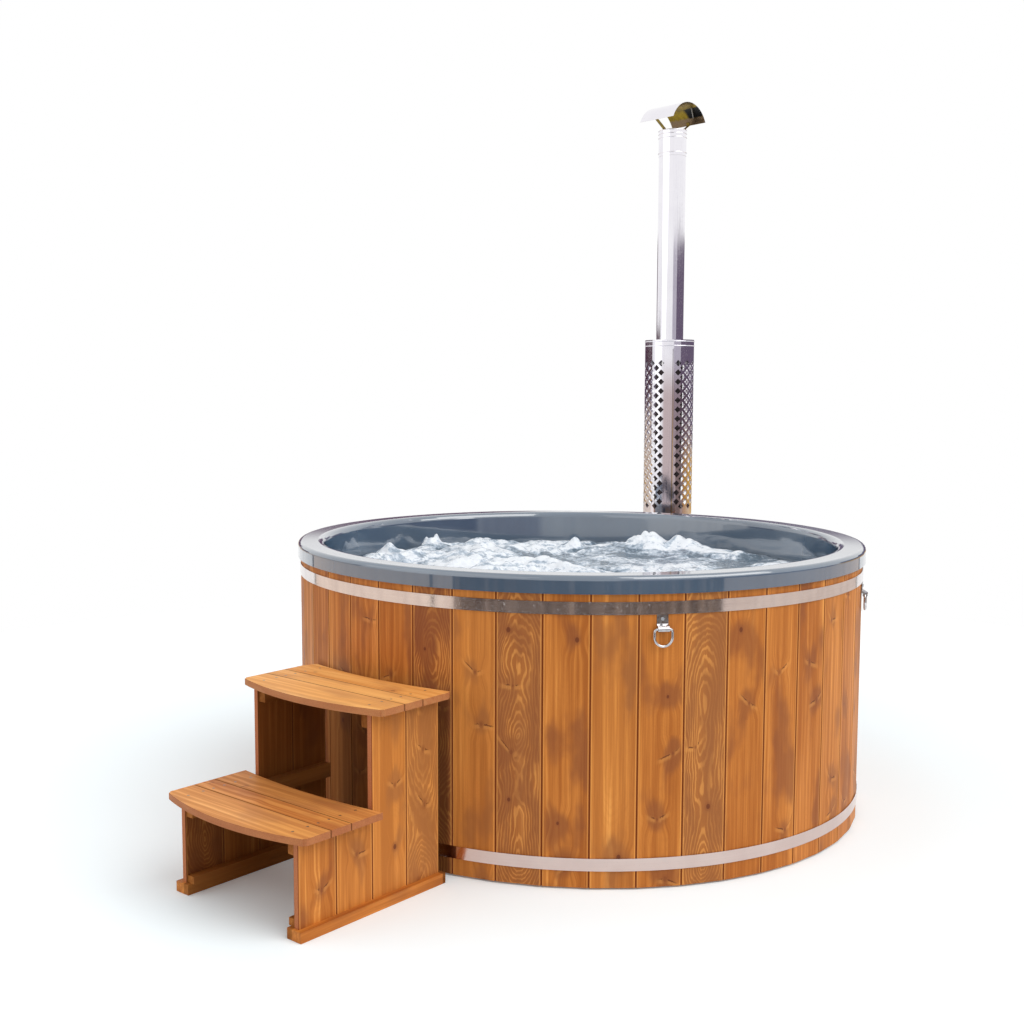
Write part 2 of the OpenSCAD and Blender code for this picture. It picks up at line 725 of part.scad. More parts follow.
module stove_front() {
    face = front_y + front_t;
    color("black") at_stove() {
        difference() {
            block(stove_w, front_y, face, jacket_z, jacket_top);
            block(2 * ash_half, front_y - eps, face + eps, ash_z, ash_z + ash_h);
            block(2 * door_half, front_y - eps, face + eps, door_z, door_z + door_h);
        }
        for (z = hinge_levels) {
            translate([hinge_x, hinge_y, z - knuckle_h / 2]) cylinder(r = hinge_r, h = knuckle_h / 2 - fine);
            translate([hinge_x, 0, 0]) block(12, face, hinge_y, z - knuckle_h / 2, z - fine);
            translate([hinge_x, hinge_y, z - knuckle_h / 2]) cylinder(r = pin_r, h = 1.5 * knuckle_h);
        }
    }
}
// The keeper: a spacer on the front plate and a bar over it, behind which the latch turns
module door_keeper() {
    foot = front_y + front_t;
    bar_y0 = foot + keeper_out - keeper_t;
    color("silver") at_stove() translate([keeper_x, 0, latch_z]) {
        block(keeper_w, foot, bar_y0 - hair, -keeper_half, keeper_half);
        translate([-keeper_w, 0, 0])
            block(3 * keeper_w, bar_y0, bar_y0 + keeper_t, -keeper_half, keeper_half);
    }
}
hinge_levels = [door_z + 30, door_z + door_h - 60];
keeper_w = 8;
keeper_t = 4;
keeper_out = 26;
keeper_half = 15;
latch_z = door_z + door_h / 2;
door_edge = 18;
door_t = 8;
door_y = front_y + front_t + 2.5;
window_half = 80;
window_h = 180;
window_z = door_z + (door_h - window_h) / 2;
glass_lap = 10;
glass_t = 4;
module stove_door() {
    door_face = door_y + door_t + eps;
    color("black") at_stove() difference() {
        union() {
            block(2 * (door_half + door_edge), door_y, door_y + door_t,
                door_z - door_edge, door_z + door_h + door_edge);
            for (z = hinge_levels) {
                translate([hinge_x, hinge_y, z]) cylinder(r = hinge_r, h = knuckle_h);
                translate([hinge_x / 2 - door_half / 2, 0, 0])
                    block(-hinge_x - door_half, hinge_y - 3, hinge_y + 3, z, z + knuckle_h);
            }
        }
        block(2 * window_half, door_y - eps, door_face, window_z, window_z + window_h);
        block(2 * (window_half + glass_lap), door_y - eps, door_y + glass_t + 2 * fine,
            window_z - glass_lap, window_z + window_h + glass_lap);
        for (z = hinge_levels) translate([hinge_x, hinge_y, z - eps])
            cylinder(r = pin_r + hair, h = knuckle_h + 2 * eps);
        translate([latch_x, 0, latch_z]) bar_y(latch_r + hair, door_y - eps, door_face);
    }
}
module door_glass() {
    lap = glass_lap - fine;
    color("dimgray") at_stove() block(2 * (window_half + lap), door_y + fine, door_y + fine + glass_t,
        window_z - lap, window_z + window_h + lap);
}
module door_gasket() {
    rope_t = 2.2;
    rope_w = 8;
    face = front_y + front_t;
    inner = door_half + 1;
    outer = inner + rope_w;
    grow = inner - door_half;
    color("gray") at_stove() difference() {
        block(2 * outer, face, face + rope_t, door_z - grow - rope_w, door_z + door_h + grow + rope_w);
        block(2 * inner, front_y, face + rope_t + eps, door_z - grow, door_z + door_h + grow);
    }
}
latch_x = door_half - 10;
keeper_x = door_half + 38;
latch_r = 6;
// The latch: its finger stands up at rest and reaches behind the keeper when it is turned
module door_latch() {
    out = door_y + door_t;
    grip_len = 95;
    grip_out = 34;
    color("silver") at_stove() translate([latch_x, 0, latch_z]) {
        bar_y(latch_r, door_y + 1, out + grip_out);
        bar_y(11, out + fine, out + 4);
        block(10, out + 3, out + 8, 0, keeper_x - latch_x - 8);
        translate([0, out + grip_out, -grip_len]) cylinder(r = 8, h = grip_len + 8);
    }
}
module fire_grate() {
    slots = 12;
    slot_w = 12;
    grate_t = 12;
    border = 40;
    low = fire_z + grate_z;
    back = stove_y + fire_wall + fine;
    front = front_y - 14;
    pitch = 2 * (fire_half - slot_w) / slots;
    color("black") at_stove() difference() {
        block(2 * (fire_half - fine), back, front, low, low + grate_t);
        for (i = [0 : slots - 1]) translate([(i - (slots - 1) / 2) * pitch, 0, 0])
            block(slot_w, back + border, front - border, low - eps, low + grate_t + eps);
    }
}
drawer_half = ash_half - 1.5;
drawer_y = front_y + front_t + fine;
drawer_front_t = 5;
// Length of the tray that stays in the stove when the drawer is pulled out
drawer_hold = 93;
vent_x = 55;
vent_z = fire_z + 48;
vent_r = 9;
vent_circle_r = 21;
knob_r = 5;
slide_t = 3;
module vent_holes() {
    for (a = [0 : 120 : 240]) translate([vent_x, 0, vent_z]) rotate([0, a, 0])
        translate([0, 0, vent_circle_r])
            bar_y(vent_r, drawer_y - drawer_front_t, drawer_y + 3 * drawer_front_t);
}
module ash_drawer() {
    wall = 2;
    back = drawer_y - drawer_travel - drawer_hold;
    low = fire_z + fine;
    high = low + ash_h - 8;
    handle_x = -vent_x;
    handle_out = 34;
    handle_len = 76;
    face_over = 12;
    color("gray") at_stove() difference() {
        union() {
            difference() {
                block(2 * drawer_half, back, drawer_y + eps, low, high);
                block(2 * (drawer_half - wall), back + wall, drawer_y, low + wall, high + eps);
            }
            block(2 * ash_half + 40, drawer_y, drawer_y + drawer_front_t,
                ash_z - face_over, ash_z + ash_h + face_over);
            for (side = [-1, 1]) translate([handle_x + side * (handle_len / 2 - 8), 0, vent_z])
                bar_y(5, drawer_y, drawer_y + handle_out);
            translate([handle_x, drawer_y + handle_out, vent_z]) bar_x(6, handle_len);
        }
        vent_holes();
        translate([vent_x, 0, vent_z]) bar_y(knob_r + hair, drawer_y - eps, drawer_y + drawer_front_t + eps);
    }
}
// The round air slide on the ash drawer
module air_regulator() {
    slide_y = drawer_y + drawer_front_t + fine;
    color("silver") at_stove() difference() {
        translate([vent_x, 0, vent_z]) {
            bar_y(vent_circle_r + vent_r + 4, slide_y, slide_y + slide_t);
            bar_y(knob_r, drawer_y + eps, slide_y + slide_t + eps);
            bar_y(knob_r + 2, slide_y + slide_t, slide_y + 19);
        }
        vent_holes();
    }
}
module stove_drain_plug() {
    color("goldenrod") at_stove() translate([stove_w / 2, stove_y + 60, jacket_z + 30]) rotate([0, 90, 0]) {
        cylinder(r = 12, h = 14);
        cylinder(r = 9, h = 22, $fn = 6);
    }
}

// The flue
collar_top = jacket_top + 85;
damper_z = jacket_top + 46;
damper_r = flue_r - 3;
spindle_r = 4;
module flue_collar() {
    wall = 3;
    color("black") at_stove() translate([0, flue_y, 0]) difference() {
        union() {
            translate([0, 0, jacket_top]) cylinder(r = flange_r, h = 6);
            translate([0, 0, jacket_top]) cylinder(r = flue_r + fine + wall, h = collar_top - jacket_top);
        }
        translate([0, 0, jacket_top - eps])
            cylinder(r = flue_r + fine, h = collar_top - jacket_top + 2 * eps);
        translate([0, 0, damper_z]) bar_x(spindle_r + hair, 4 * flue_r);
    }
}
// The damper stands open at rest and closes when it is turned
module damper() {
    grip_x = flue_r + 24;
    grip_len = 56;
    color("gray") at_stove() translate([0, flue_y, damper_z]) {
        rotate([90, 0, 0]) cylinder(r = damper_r, h = 2, center = true);
        translate([-(flue_r + 8), 0, 0]) rotate([0, 90, 0])
            cylinder(r = spindle_r, h = flue_r + 8 + grip_x + spindle_r + 2);
        translate([grip_x, 0, 0]) cylinder(r = spindle_r, h = grip_len, center = true);
    }
}
joint_z = 1650;
pipe_low = collar_top - 12;
coupler_half = 30;
coupler_r = flue_r - flue_t - hair;
// Children are drawn on the flue's axis
module at_flue() { at_stove() translate([0, flue_y, 0]) children(); }
module flue_pipe(low, high) {
    color("silver") at_flue() translate([0, 0, low]) tube(flue_r, flue_r - flue_t, high - low);
}
module flue_pipe_lower() { flue_pipe(pipe_low, joint_z); }
module flue_pipe_upper() { flue_pipe(joint_z, flue_top); }
module pipe_coupler() {
    color("silver") at_flue() translate([0, 0, joint_z - coupler_half])
        tube(coupler_r, coupler_r - flue_t, 2 * coupler_half);
}

// The heat guard: a perforated sheet with two rolled beads and a plain strip
guard_t = 1;
bead_r = 2;
hole_columns = 14;
hole_pitch_z = 83;
hole_side = 22;
hole_margin = 104;
guard_h = guard_high - guard_low;
module guard_wall() {
    rotate_extrude() polygon(concat(
        [[guard_r - guard_t, 0], [guard_r, 0]],
        arc([guard_r, guard_h - 27], bead_r, -90, 90, 6),
        arc([guard_r, guard_h - 7], bead_r, -90, 90, 6),
        [[guard_r, guard_h], [guard_r - guard_t, guard_h]]));
}
module guard_shell() {
    column_step = 360 / (hole_columns + 1);
    rows = floor((guard_h - 1.6 * hole_margin) / hole_pitch_z);
    color("gainsboro") at_flue() translate([0, 0, guard_low])
        rotate([0, 0, stove_az + guard_strip_az - 90]) difference() {
            guard_wall();
            for (c = [0 : hole_columns - 1], k = [0 : rows - 1]) rotate([0, 0, (c + 1) * column_step])
                translate([guard_r, 0, guard_h - hole_margin - (k + (c % 2) / 2) * hole_pitch_z])
                    rotate([45, 0, 0]) cube([12, hole_side, hole_side], center = true);
        }
}
module guard_brackets() {
    clamp_h = 20;
    clamp_t = 1.5;
    arm_w = 3;
    inner = flue_r + hair;
    color("silver") at_flue() for (z = [guard_low + 10, joint_z - 70]) translate([0, 0, z]) {
        tube(inner + clamp_t, inner, clamp_h);
        for (a = [0 : 120 : 240]) rotate([0, 0, a])
            block(arm_w, inner + clamp_t / 2, guard_r - guard_t - fine, 0, clamp_h);
    }
}

// The cap: a beaded collar, two strap legs and an arched hood
cap_lap = 20;
cap_collar_h = 115;
cap_collar_low = flue_top - cap_collar_h + cap_lap;
cap_collar_r = flue_r + fine + 1.2;
cap_beads = [14, 80, 97, 112.5];
module cap_collar() {
    top = cap_collar_low + cap_collar_h;
    color("whitesmoke") at_flue() rotate_extrude() polygon(concat(
        [[flue_r + fine, cap_collar_low], [cap_collar_r, cap_collar_low]],
        [for (z = cap_beads, p = arc([cap_collar_r, cap_collar_low + z], 2, -90, 90, 6)) p],
        [[cap_collar_r, top], [flue_r + fine, top]]));
}
hood_low = cap_collar_low + cap_collar_h + 36;
hood_r = (pow(hood_w / 2, 2) + pow(hood_rise, 2)) / (2 * hood_rise);
hood_t = 1;
leg_t = 1.5;
// Children are drawn with the hood's ridge along X, above the flue
module at_hood() { at_flue() rotate([0, 0, stove_az - hood_az]) children(); }
module cap_hood() {
    color("whitesmoke") at_hood() translate([0, 0, hood_low + hood_rise - hood_r]) rotate([90, 0, 90])
        linear_extrude(hood_len, center = true) difference() {
            circle(r = hood_r);
            circle(r = hood_r - hood_t);
            translate([-2 * hood_r, -3 * hood_r - hood_rise]) square(4 * hood_r);
        }
}
// One leg: a strap that stands inside the collar's mouth, leans outwards and lies against the hood
leg_w = 16;
leg_foot = 19;
leg_neck = 2;
leg_lap = 14;
leg_y = sqrt(pow(flue_r + fine, 2) - pow(leg_w / 2, 2)) - fine;
cap_top = cap_collar_low + cap_collar_h;
hood_mid_z = hood_low + hood_rise - hood_r;
function hood_inside(z) = sqrt(pow(hood_r - hood_t, 2) - pow(z - hood_mid_z, 2)) - fine;
function left_of(v) = [-v[1], v[0]] / norm(v);
function inner_corner(before, at, after) = let (a = left_of(at - before), b = left_of(after - at))
    at + leg_t * (a + b) / (1 + a * b);
module cap_leg() {
    foot = [leg_y, cap_top - leg_foot];
    neck = [leg_y, cap_top + leg_neck];
    knee = [hood_inside(hood_low), hood_low];
    tip = [hood_inside(hood_low + leg_lap), hood_low + leg_lap];
    rotate([90, 0, 90]) linear_extrude(leg_w, center = true) polygon([
        foot, neck, knee, tip,
        tip + leg_t * left_of(tip - knee),
        inner_corner(neck, knee, tip),
        inner_corner(foot, neck, knee),
        foot - [leg_t, 0]]);
}
module cap_legs() {
    color("gainsboro") at_hood() for (turn = [0, 180]) rotate([0, 0, turn]) cap_leg();
}
// The steps. Distances along the steps run outwards from the board faces
rail_over = 9;
boards_per_side = 4;
panel_start = apothem + steps_gap + rail_over;
panel_mid = panel_start + 2 * side_board_w;
panel_end = panel_start + boards_per_side * side_board_w;
board_joint = 1;
board_bevel = 2;
panel_in = steps_w / 2 - side_board_t;
// One upright board of a side panel, numbered from the tub outwards
module side_board(i) {
    half = side_board_w / 2 - board_joint / 2;
    top = (i < 2 ? tread_high : tread_low) - tread_t;
    translate([0, -(panel_start + (i + 0.5) * side_board_w), rail_h]) linear_extrude(top - rail_h) polygon([
        [0, -half], [side_board_t - board_bevel, -half], [side_board_t, -half + board_bevel],
        [side_board_t, half - board_bevel], [side_board_t - board_bevel, half], [0, half]]);
}
module side_panel() {
    translate([panel_in, 0, 0]) for (i = [0 : boards_per_side - 1]) side_board(i);
}
module right_panel() { color("peru") at_steps() side_panel(); }
module left_panel() { color("peru") at_steps() mirror([1, 0, 0]) side_panel(); }

// A tread: three boards cut to a bowed front edge and a hollow rear edge
front_bow = 50;
corner_cut = 8;
module tread(front, rear, rear_bow, joints, top) {
    half = tread_w / 2;
    bow_r = (pow(half, 2) + pow(front_bow, 2)) / (2 * front_bow);
    rear_r = (pow(half, 2) + pow(rear_bow, 2)) / (2 * rear_bow);
    edge_a = asin(half / bow_r);
    rear_a = asin(half / rear_r);
    outline = concat(
        arc([0, -(front + front_bow - bow_r)], bow_r, -90 - edge_a, -90 + edge_a, 24),
        arc([0, -(rear + rear_bow - rear_r)], rear_r, -90 + rear_a, -90 - rear_a, 24));
    translate([0, 0, top - tread_t]) linear_extrude(tread_t) difference() {
        polygon(outline);
        for (s = joints) translate([-half - eps, -s - board_joint / 2])
            square([tread_w + 2 * eps, board_joint + 0.5]);
        for (side = [-1, 1]) translate([side * half, -front]) rotate(45)
            square(corner_cut * sqrt(2), center = true);
    }
}
low_front = panel_end + 13;
high_front = panel_mid + 1;
first_joint = 94;
second_joint = 170;
module lower_tread() {
    color("chocolate") at_steps() tread(low_front, panel_mid + 1, 23,
        [low_front - first_joint, low_front - second_joint], tread_low);
}
high_rear = panel_start - 11;
// The rear corners of the upper tread are cut off, more on the left: side, across, along
rear_cuts = [[-1, 22, 48], [1, 8, 14]];
module rear_cut(cut) {
    half = tread_w / 2;
    translate([0, -high_rear, tread_high - tread_t - 1]) linear_extrude(tread_t + 2) polygon([
        [cut[0] * (half - cut[1] - 1), 1], [cut[0] * (half + 1), 1], [cut[0] * (half + 1), -cut[2] - 2]]);
}
module upper_tread() {
    color("chocolate") at_steps() difference() {
        tread(high_front, high_rear, 32,
            [high_front - first_joint + 4, high_front - second_joint + 4], tread_high);
        for (cut = rear_cuts) rear_cut(cut);
    }
}
cleat_w = 28;
cleat_h = 45;
cleat_short = 6;
// A batten under a tread, between the distances near and far from the axis
module cleat(near, far, top) {
    block(cleat_w, -(far - cleat_short), -(near + cleat_short), top - cleat_h, top);
}
brace_h = 60;
brace_t = 22;
brace_in = 12;
// The frame of the steps: ground rails, a brace behind and battens inside
module step_frame() {
    brace_end = panel_start + brace_in + brace_t;
    rail_x = panel_in + side_board_t / 2 - board_joint / 2;
    color("sienna") at_steps() {
        for (side = [-1, 1]) translate([side * rail_x, 0, 0])
            block(rail_w, -(panel_end + rail_over), -(panel_start - rail_over), 0, rail_h);
        block(2 * panel_in, -brace_end, -(brace_end - brace_t), rail_h, rail_h + brace_h);
        for (side = [-1, 1]) translate([side * (panel_in - cleat_w / 2), 0, 0]) {
            cleat(panel_start, panel_end, tread_low - tread_t);
            cleat(panel_start, panel_mid, tread_high - tread_t);
            block(cleat_w, -(panel_end - cleat_short), -(brace_end + board_joint / 2),
                rail_h, rail_h + brace_t);
        }
    }
}

tub_liner();
foam_insulation();
staves();
upper_hoop();
lower_hoop();
hoop_bolts();
bearers();
base_deck();
bench_posts();
lug_plates();
lug_screws();
d_ring_1();
d_ring_2();
d_ring_3();
d_ring_4();
drain_flange();
drain_pipe();
drain_valve_body();
drain_lever();
drain_hose_tail();
water_fittings();
pipe_nuts();
rubber_sleeves();
hose_clamps();
air_nozzles();
air_ring();
air_hose();
blower_housing();
blower_motor();
blower_impeller();
cable_gland();
button_bezel();
air_button();
stove_jacket();
stove_legs();
stove_front();
stove_door();
door_glass();
door_gasket();
door_keeper();
door_latch();
fire_grate();
ash_drawer();
air_regulator();
stove_drain_plug();
flue_collar();
damper();
flue_pipe_lower();
pipe_coupler();
flue_pipe_upper();
guard_shell();
guard_brackets();
cap_collar();
cap_legs();
cap_hood();
step_frame();
left_panel();
right_panel();
lower_tread();
upper_tread();
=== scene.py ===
import math

import bmesh
import bpy
import numpy as np
from mathutils import Matrix, Vector, noise


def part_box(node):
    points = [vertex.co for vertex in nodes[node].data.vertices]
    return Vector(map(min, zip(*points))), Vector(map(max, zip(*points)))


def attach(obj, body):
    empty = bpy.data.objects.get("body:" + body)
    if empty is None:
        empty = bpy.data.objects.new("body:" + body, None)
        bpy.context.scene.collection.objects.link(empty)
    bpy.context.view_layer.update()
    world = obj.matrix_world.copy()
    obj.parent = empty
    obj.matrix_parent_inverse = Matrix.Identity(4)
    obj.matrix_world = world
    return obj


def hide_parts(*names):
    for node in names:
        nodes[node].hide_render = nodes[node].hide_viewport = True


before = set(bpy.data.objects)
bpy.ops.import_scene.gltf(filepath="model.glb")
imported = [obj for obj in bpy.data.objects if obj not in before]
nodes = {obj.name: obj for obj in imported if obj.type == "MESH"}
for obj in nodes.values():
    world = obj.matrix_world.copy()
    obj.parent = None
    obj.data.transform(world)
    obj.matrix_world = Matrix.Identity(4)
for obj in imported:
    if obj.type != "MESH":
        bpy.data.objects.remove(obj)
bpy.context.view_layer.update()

# Places and sizes that the construction gives, in metres from the middle of the tub
BOARD_FACE = 0.998
BOARD_HALF = 0.0694
BOARD_STEP = 8
BOARD_START = 0.7
WATER_LEVEL = 0.806
STEPS_TURN = math.radians(36)
PANEL_START = 1.031
PANEL_BOARD = 0.140
LOWER_TREAD_JOINTS = (1.434, 1.510)
UPPER_TREAD_JOINTS = (1.146, 1.222)
LOWER_TREAD_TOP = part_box("lower_tread")[1].z
UPPER_TREAD_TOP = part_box("upper_tread")[1].z
FLUE_MIDDLE = (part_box("flue_pipe_upper")[0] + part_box("flue_pipe_upper")[1]) / 2
FLUE_X = FLUE_MIDDLE.x
FLUE_Y = FLUE_MIDDLE.y
HOOD_TURN = math.radians(43)


# Shader trees

class Plan:
    """A shader tree that is being drawn, with short calls for the nodes used most."""

    def __init__(self, tree):
        self.tree = tree

    def put(self, kind, values=None, **settings):
        made = self.tree.nodes.new("ShaderNode" + kind)
        for key, value in settings.items():
            setattr(made, key, value)
        for key, value in (values or {}).items():
            self.feed(made.inputs[key], value)
        return made

    def feed(self, socket, value):
        if isinstance(value, bpy.types.NodeSocket):
            self.tree.links.new(value, socket)
        else:
            socket.default_value = value

    def math(self, operation, *values, clamp=False):
        made = self.put("Math", dict(enumerate(values)), operation=operation, use_clamp=clamp)
        return made.outputs[0]

    def times(self, first, *others):
        for other in others:
            first = self.math("MULTIPLY", first, other)
        return first

    def plus(self, first, *others):
        for other in others:
            first = self.math("ADD", first, other)
        return first

    def minus(self, first, second):
        return self.math("SUBTRACT", first, second)

    def most(self, first, second):
        return self.math("MAXIMUM", first, second)

    def size(self, value):
        return self.math("ABSOLUTE", value)

    def far(self, first, second):
        return self.math("SQRT", self.plus(self.times(first, first), self.times(second, second)))

    def vector(self, operation, *values):
        made = self.put("VectorMath", dict(enumerate(values)), operation=operation)
        return made.outputs["Value" if operation in ("DOT_PRODUCT", "LENGTH") else "Vector"]

    def stretch(self, place, x, y, z):
        return self.vector("MULTIPLY", place, (x, y, z))

    def join(self, x=0.0, y=0.0, z=0.0):
        return self.put("CombineXYZ", {0: x, 1: y, 2: z}).outputs[0]

    def split(self, place):
        return self.put("SeparateXYZ", {0: place}).outputs

    def fade(self, value, low, high, out_low=0.0, out_high=1.0):
        made = self.put("MapRange", {0: value, 1: low, 2: high, 3: out_low, 4: out_high},
                        interpolation_type="SMOOTHSTEP")
        return made.outputs[0]

    def mix(self, share, first, second, blend="MIX"):
        made = self.put("Mix", {0: share, 6: first, 7: second}, data_type="RGBA", blend_type=blend)
        return made.outputs[2]

    def noise(self, place, scale=1.0, detail=2.0, rough=0.5, twist=0.0):
        return self.put("TexNoise", {"Vector": place, "Scale": scale, "Detail": detail,
                                     "Roughness": rough, "Distortion": twist}).outputs[0]

    def line_noise(self, value, detail=2.0, rough=0.5):
        return self.put("TexNoise", {"W": value, "Scale": 1.0, "Detail": detail,
                                     "Roughness": rough}, noise_dimensions="1D").outputs[0]

    def chance(self, number):
        made = self.put("TexWhiteNoise", {"W": number}, noise_dimensions="1D")
        return self.split(made.outputs["Color"])

    def place(self):
        return self.put("TexCoord").outputs["Object"]

    def facing(self):
        return self.put("TexCoord").outputs["Normal"]

    def bump(self, height, depth, strength=1.0):
        made = self.put("Bump", {"Height": height, "Distance": depth, "Strength": strength})
        return made.outputs["Normal"]

    def use(self, group, **values):
        made = self.put("Group", node_tree=group)
        for key, value in values.items():
            self.feed(made.inputs[key.replace("_", " ")], value)
        return made.outputs


def shader_group(name, inputs, outputs):
    tree = bpy.data.node_groups.new(name, "ShaderNodeTree")
    for label, kind, value in inputs:
        socket = tree.interface.new_socket(name=label, in_out="INPUT", socket_type="NodeSocket" + kind)
        if value is not None:
            socket.default_value = value
    for label, kind in outputs:
        tree.interface.new_socket(name=label, in_out="OUTPUT", socket_type="NodeSocket" + kind)
    plan = Plan(tree)
    return plan, tree.nodes.new("NodeGroupInput").outputs, tree.nodes.new("NodeGroupOutput").inputs


def finish(name, draw, **plain):
    """A material whose tree is drawn by draw(plan), which gives the sockets that vary."""
    made = bpy.data.materials.new(name)
    made.use_nodes = True
    tree = made.node_tree
    tree.nodes.clear()
    plan = Plan(tree)
    skin = plan.put("BsdfPrincipled")
    for key, value in {**plain, **draw(plan)}.items():
        plan.feed(skin.inputs[key.replace("_", " ")], value)
    plan.put("OutputMaterial", {"Surface": skin.outputs[0]})
    return made


# A board has one knot at most in each stretch of this length, within a strip of this width
KNOT_EVERY = 0.17
KNOT_SPAN = 0.076
KNOT_COLOUR = (0.135, 0.030, 0.009, 1)
WING_COLOUR = (0.115, 0.026, 0.008, 1)
RING_WIDTH = 0.0080


def draw_knots(plan, given, x, along, shift):
    """Masks of the knots, small and round or winged, and the place across bent around them."""
    row = plan.math("FLOOR", plan.plus(plan.times(along, 1 / KNOT_EVERY), shift))
    key = plan.plus(plan.times(row, 3.71), plan.times(given["Board"], 17.3))
    level, side, luck = plan.chance(key)
    wings, width, slope = plan.chance(plan.plus(key, 5.3))
    middle = plan.plus(plan.minus(row, shift), plan.fade(level, 0.0, 1.0, 0.3, 0.7))
    away_x = plan.minus(x, plan.times(plan.minus(side, 0.5), KNOT_SPAN))
    away_z = plan.minus(along, plan.times(middle, KNOT_EVERY))
    has = plan.times(plan.math("GREATER_THAN", luck, 0.52), given["Knots"])
    winged = plan.times(plan.math("GREATER_THAN", wings, 0.45), has)
    reach = plan.far(away_x, plan.times(away_z, 0.75))
    part = plan.math("DIVIDE", reach, plan.fade(width, 0.0, 1.0, 0.0022, 0.0062))
    core = plan.times(plan.fade(part, 1.2, 0.8), has, plan.minus(1.0, plan.times(winged, 0.65)))
    ring = plan.times(plan.fade(part, 2.6, 1.3), has)
    near = plan.times(plan.fade(reach, 0.055, 0.0), has)

    # Wings are ragged dark dashes to both sides, one longer than the other, with a pale halo
    ragged = plan.minus(plan.noise(plan.stretch(given["Place"], 110, 110, 110), detail=3.0, rough=0.7), 0.5)
    out_x = plan.size(plan.plus(away_x, plan.times(ragged, 0.012)))
    longer = plan.size(plan.plus(away_x, plan.times(plan.minus(wings, 0.7), 0.045)))
    lift = plan.plus(plan.times(out_x, plan.fade(slope, 0.0, 1.0, -0.2, 0.7)),
                     plan.times(away_x, plan.fade(level, 0.0, 1.0, -0.7, 0.7)),
                     plan.times(ragged, 0.014))
    rise = plan.minus(away_z, lift)
    tip = plan.fade(side, 0.0, 1.0, 0.020, 0.040)
    dash = plan.times(plan.fade(plan.size(rise), 0.0034, 0.0008), plan.fade(out_x, 0.005, 0.011),
                      plan.fade(longer, tip, 0.014), winged)
    halo = plan.times(plan.fade(plan.size(plan.plus(rise, 0.006)), 0.012, 0.002),
                      plan.fade(out_x, 0.001, 0.010), plan.fade(longer, 0.045, 0.020), winged)
    bent = plan.plus(x, plan.times(away_x, near, 0.8))
    return {"core": core, "ring": ring, "near": near, "dash": dash, "halo": halo, "bent": bent}


def draw_rings(plan, bent, along, streak, swirl, wander):
    """Year rings: circles around a heart that wanders in and out of the board's face."""
    heart = plan.line_noise(plan.plus(plan.times(along, 2.0), plan.times(wander, 61.0)), detail=1.0)
    below = plan.times(plan.minus(heart, 0.42), 0.34)
    ring = plan.plus(plan.far(bent, below), plan.times(streak, 0.008), plan.times(swirl, 0.030))
    wave = plan.math("SINE", plan.times(ring, math.tau / RING_WIDTH))
    return plan.times(plan.fade(wave, -0.2, 1.0), plan.fade(swirl, 0.35, 0.60, 1.0, 0.30))


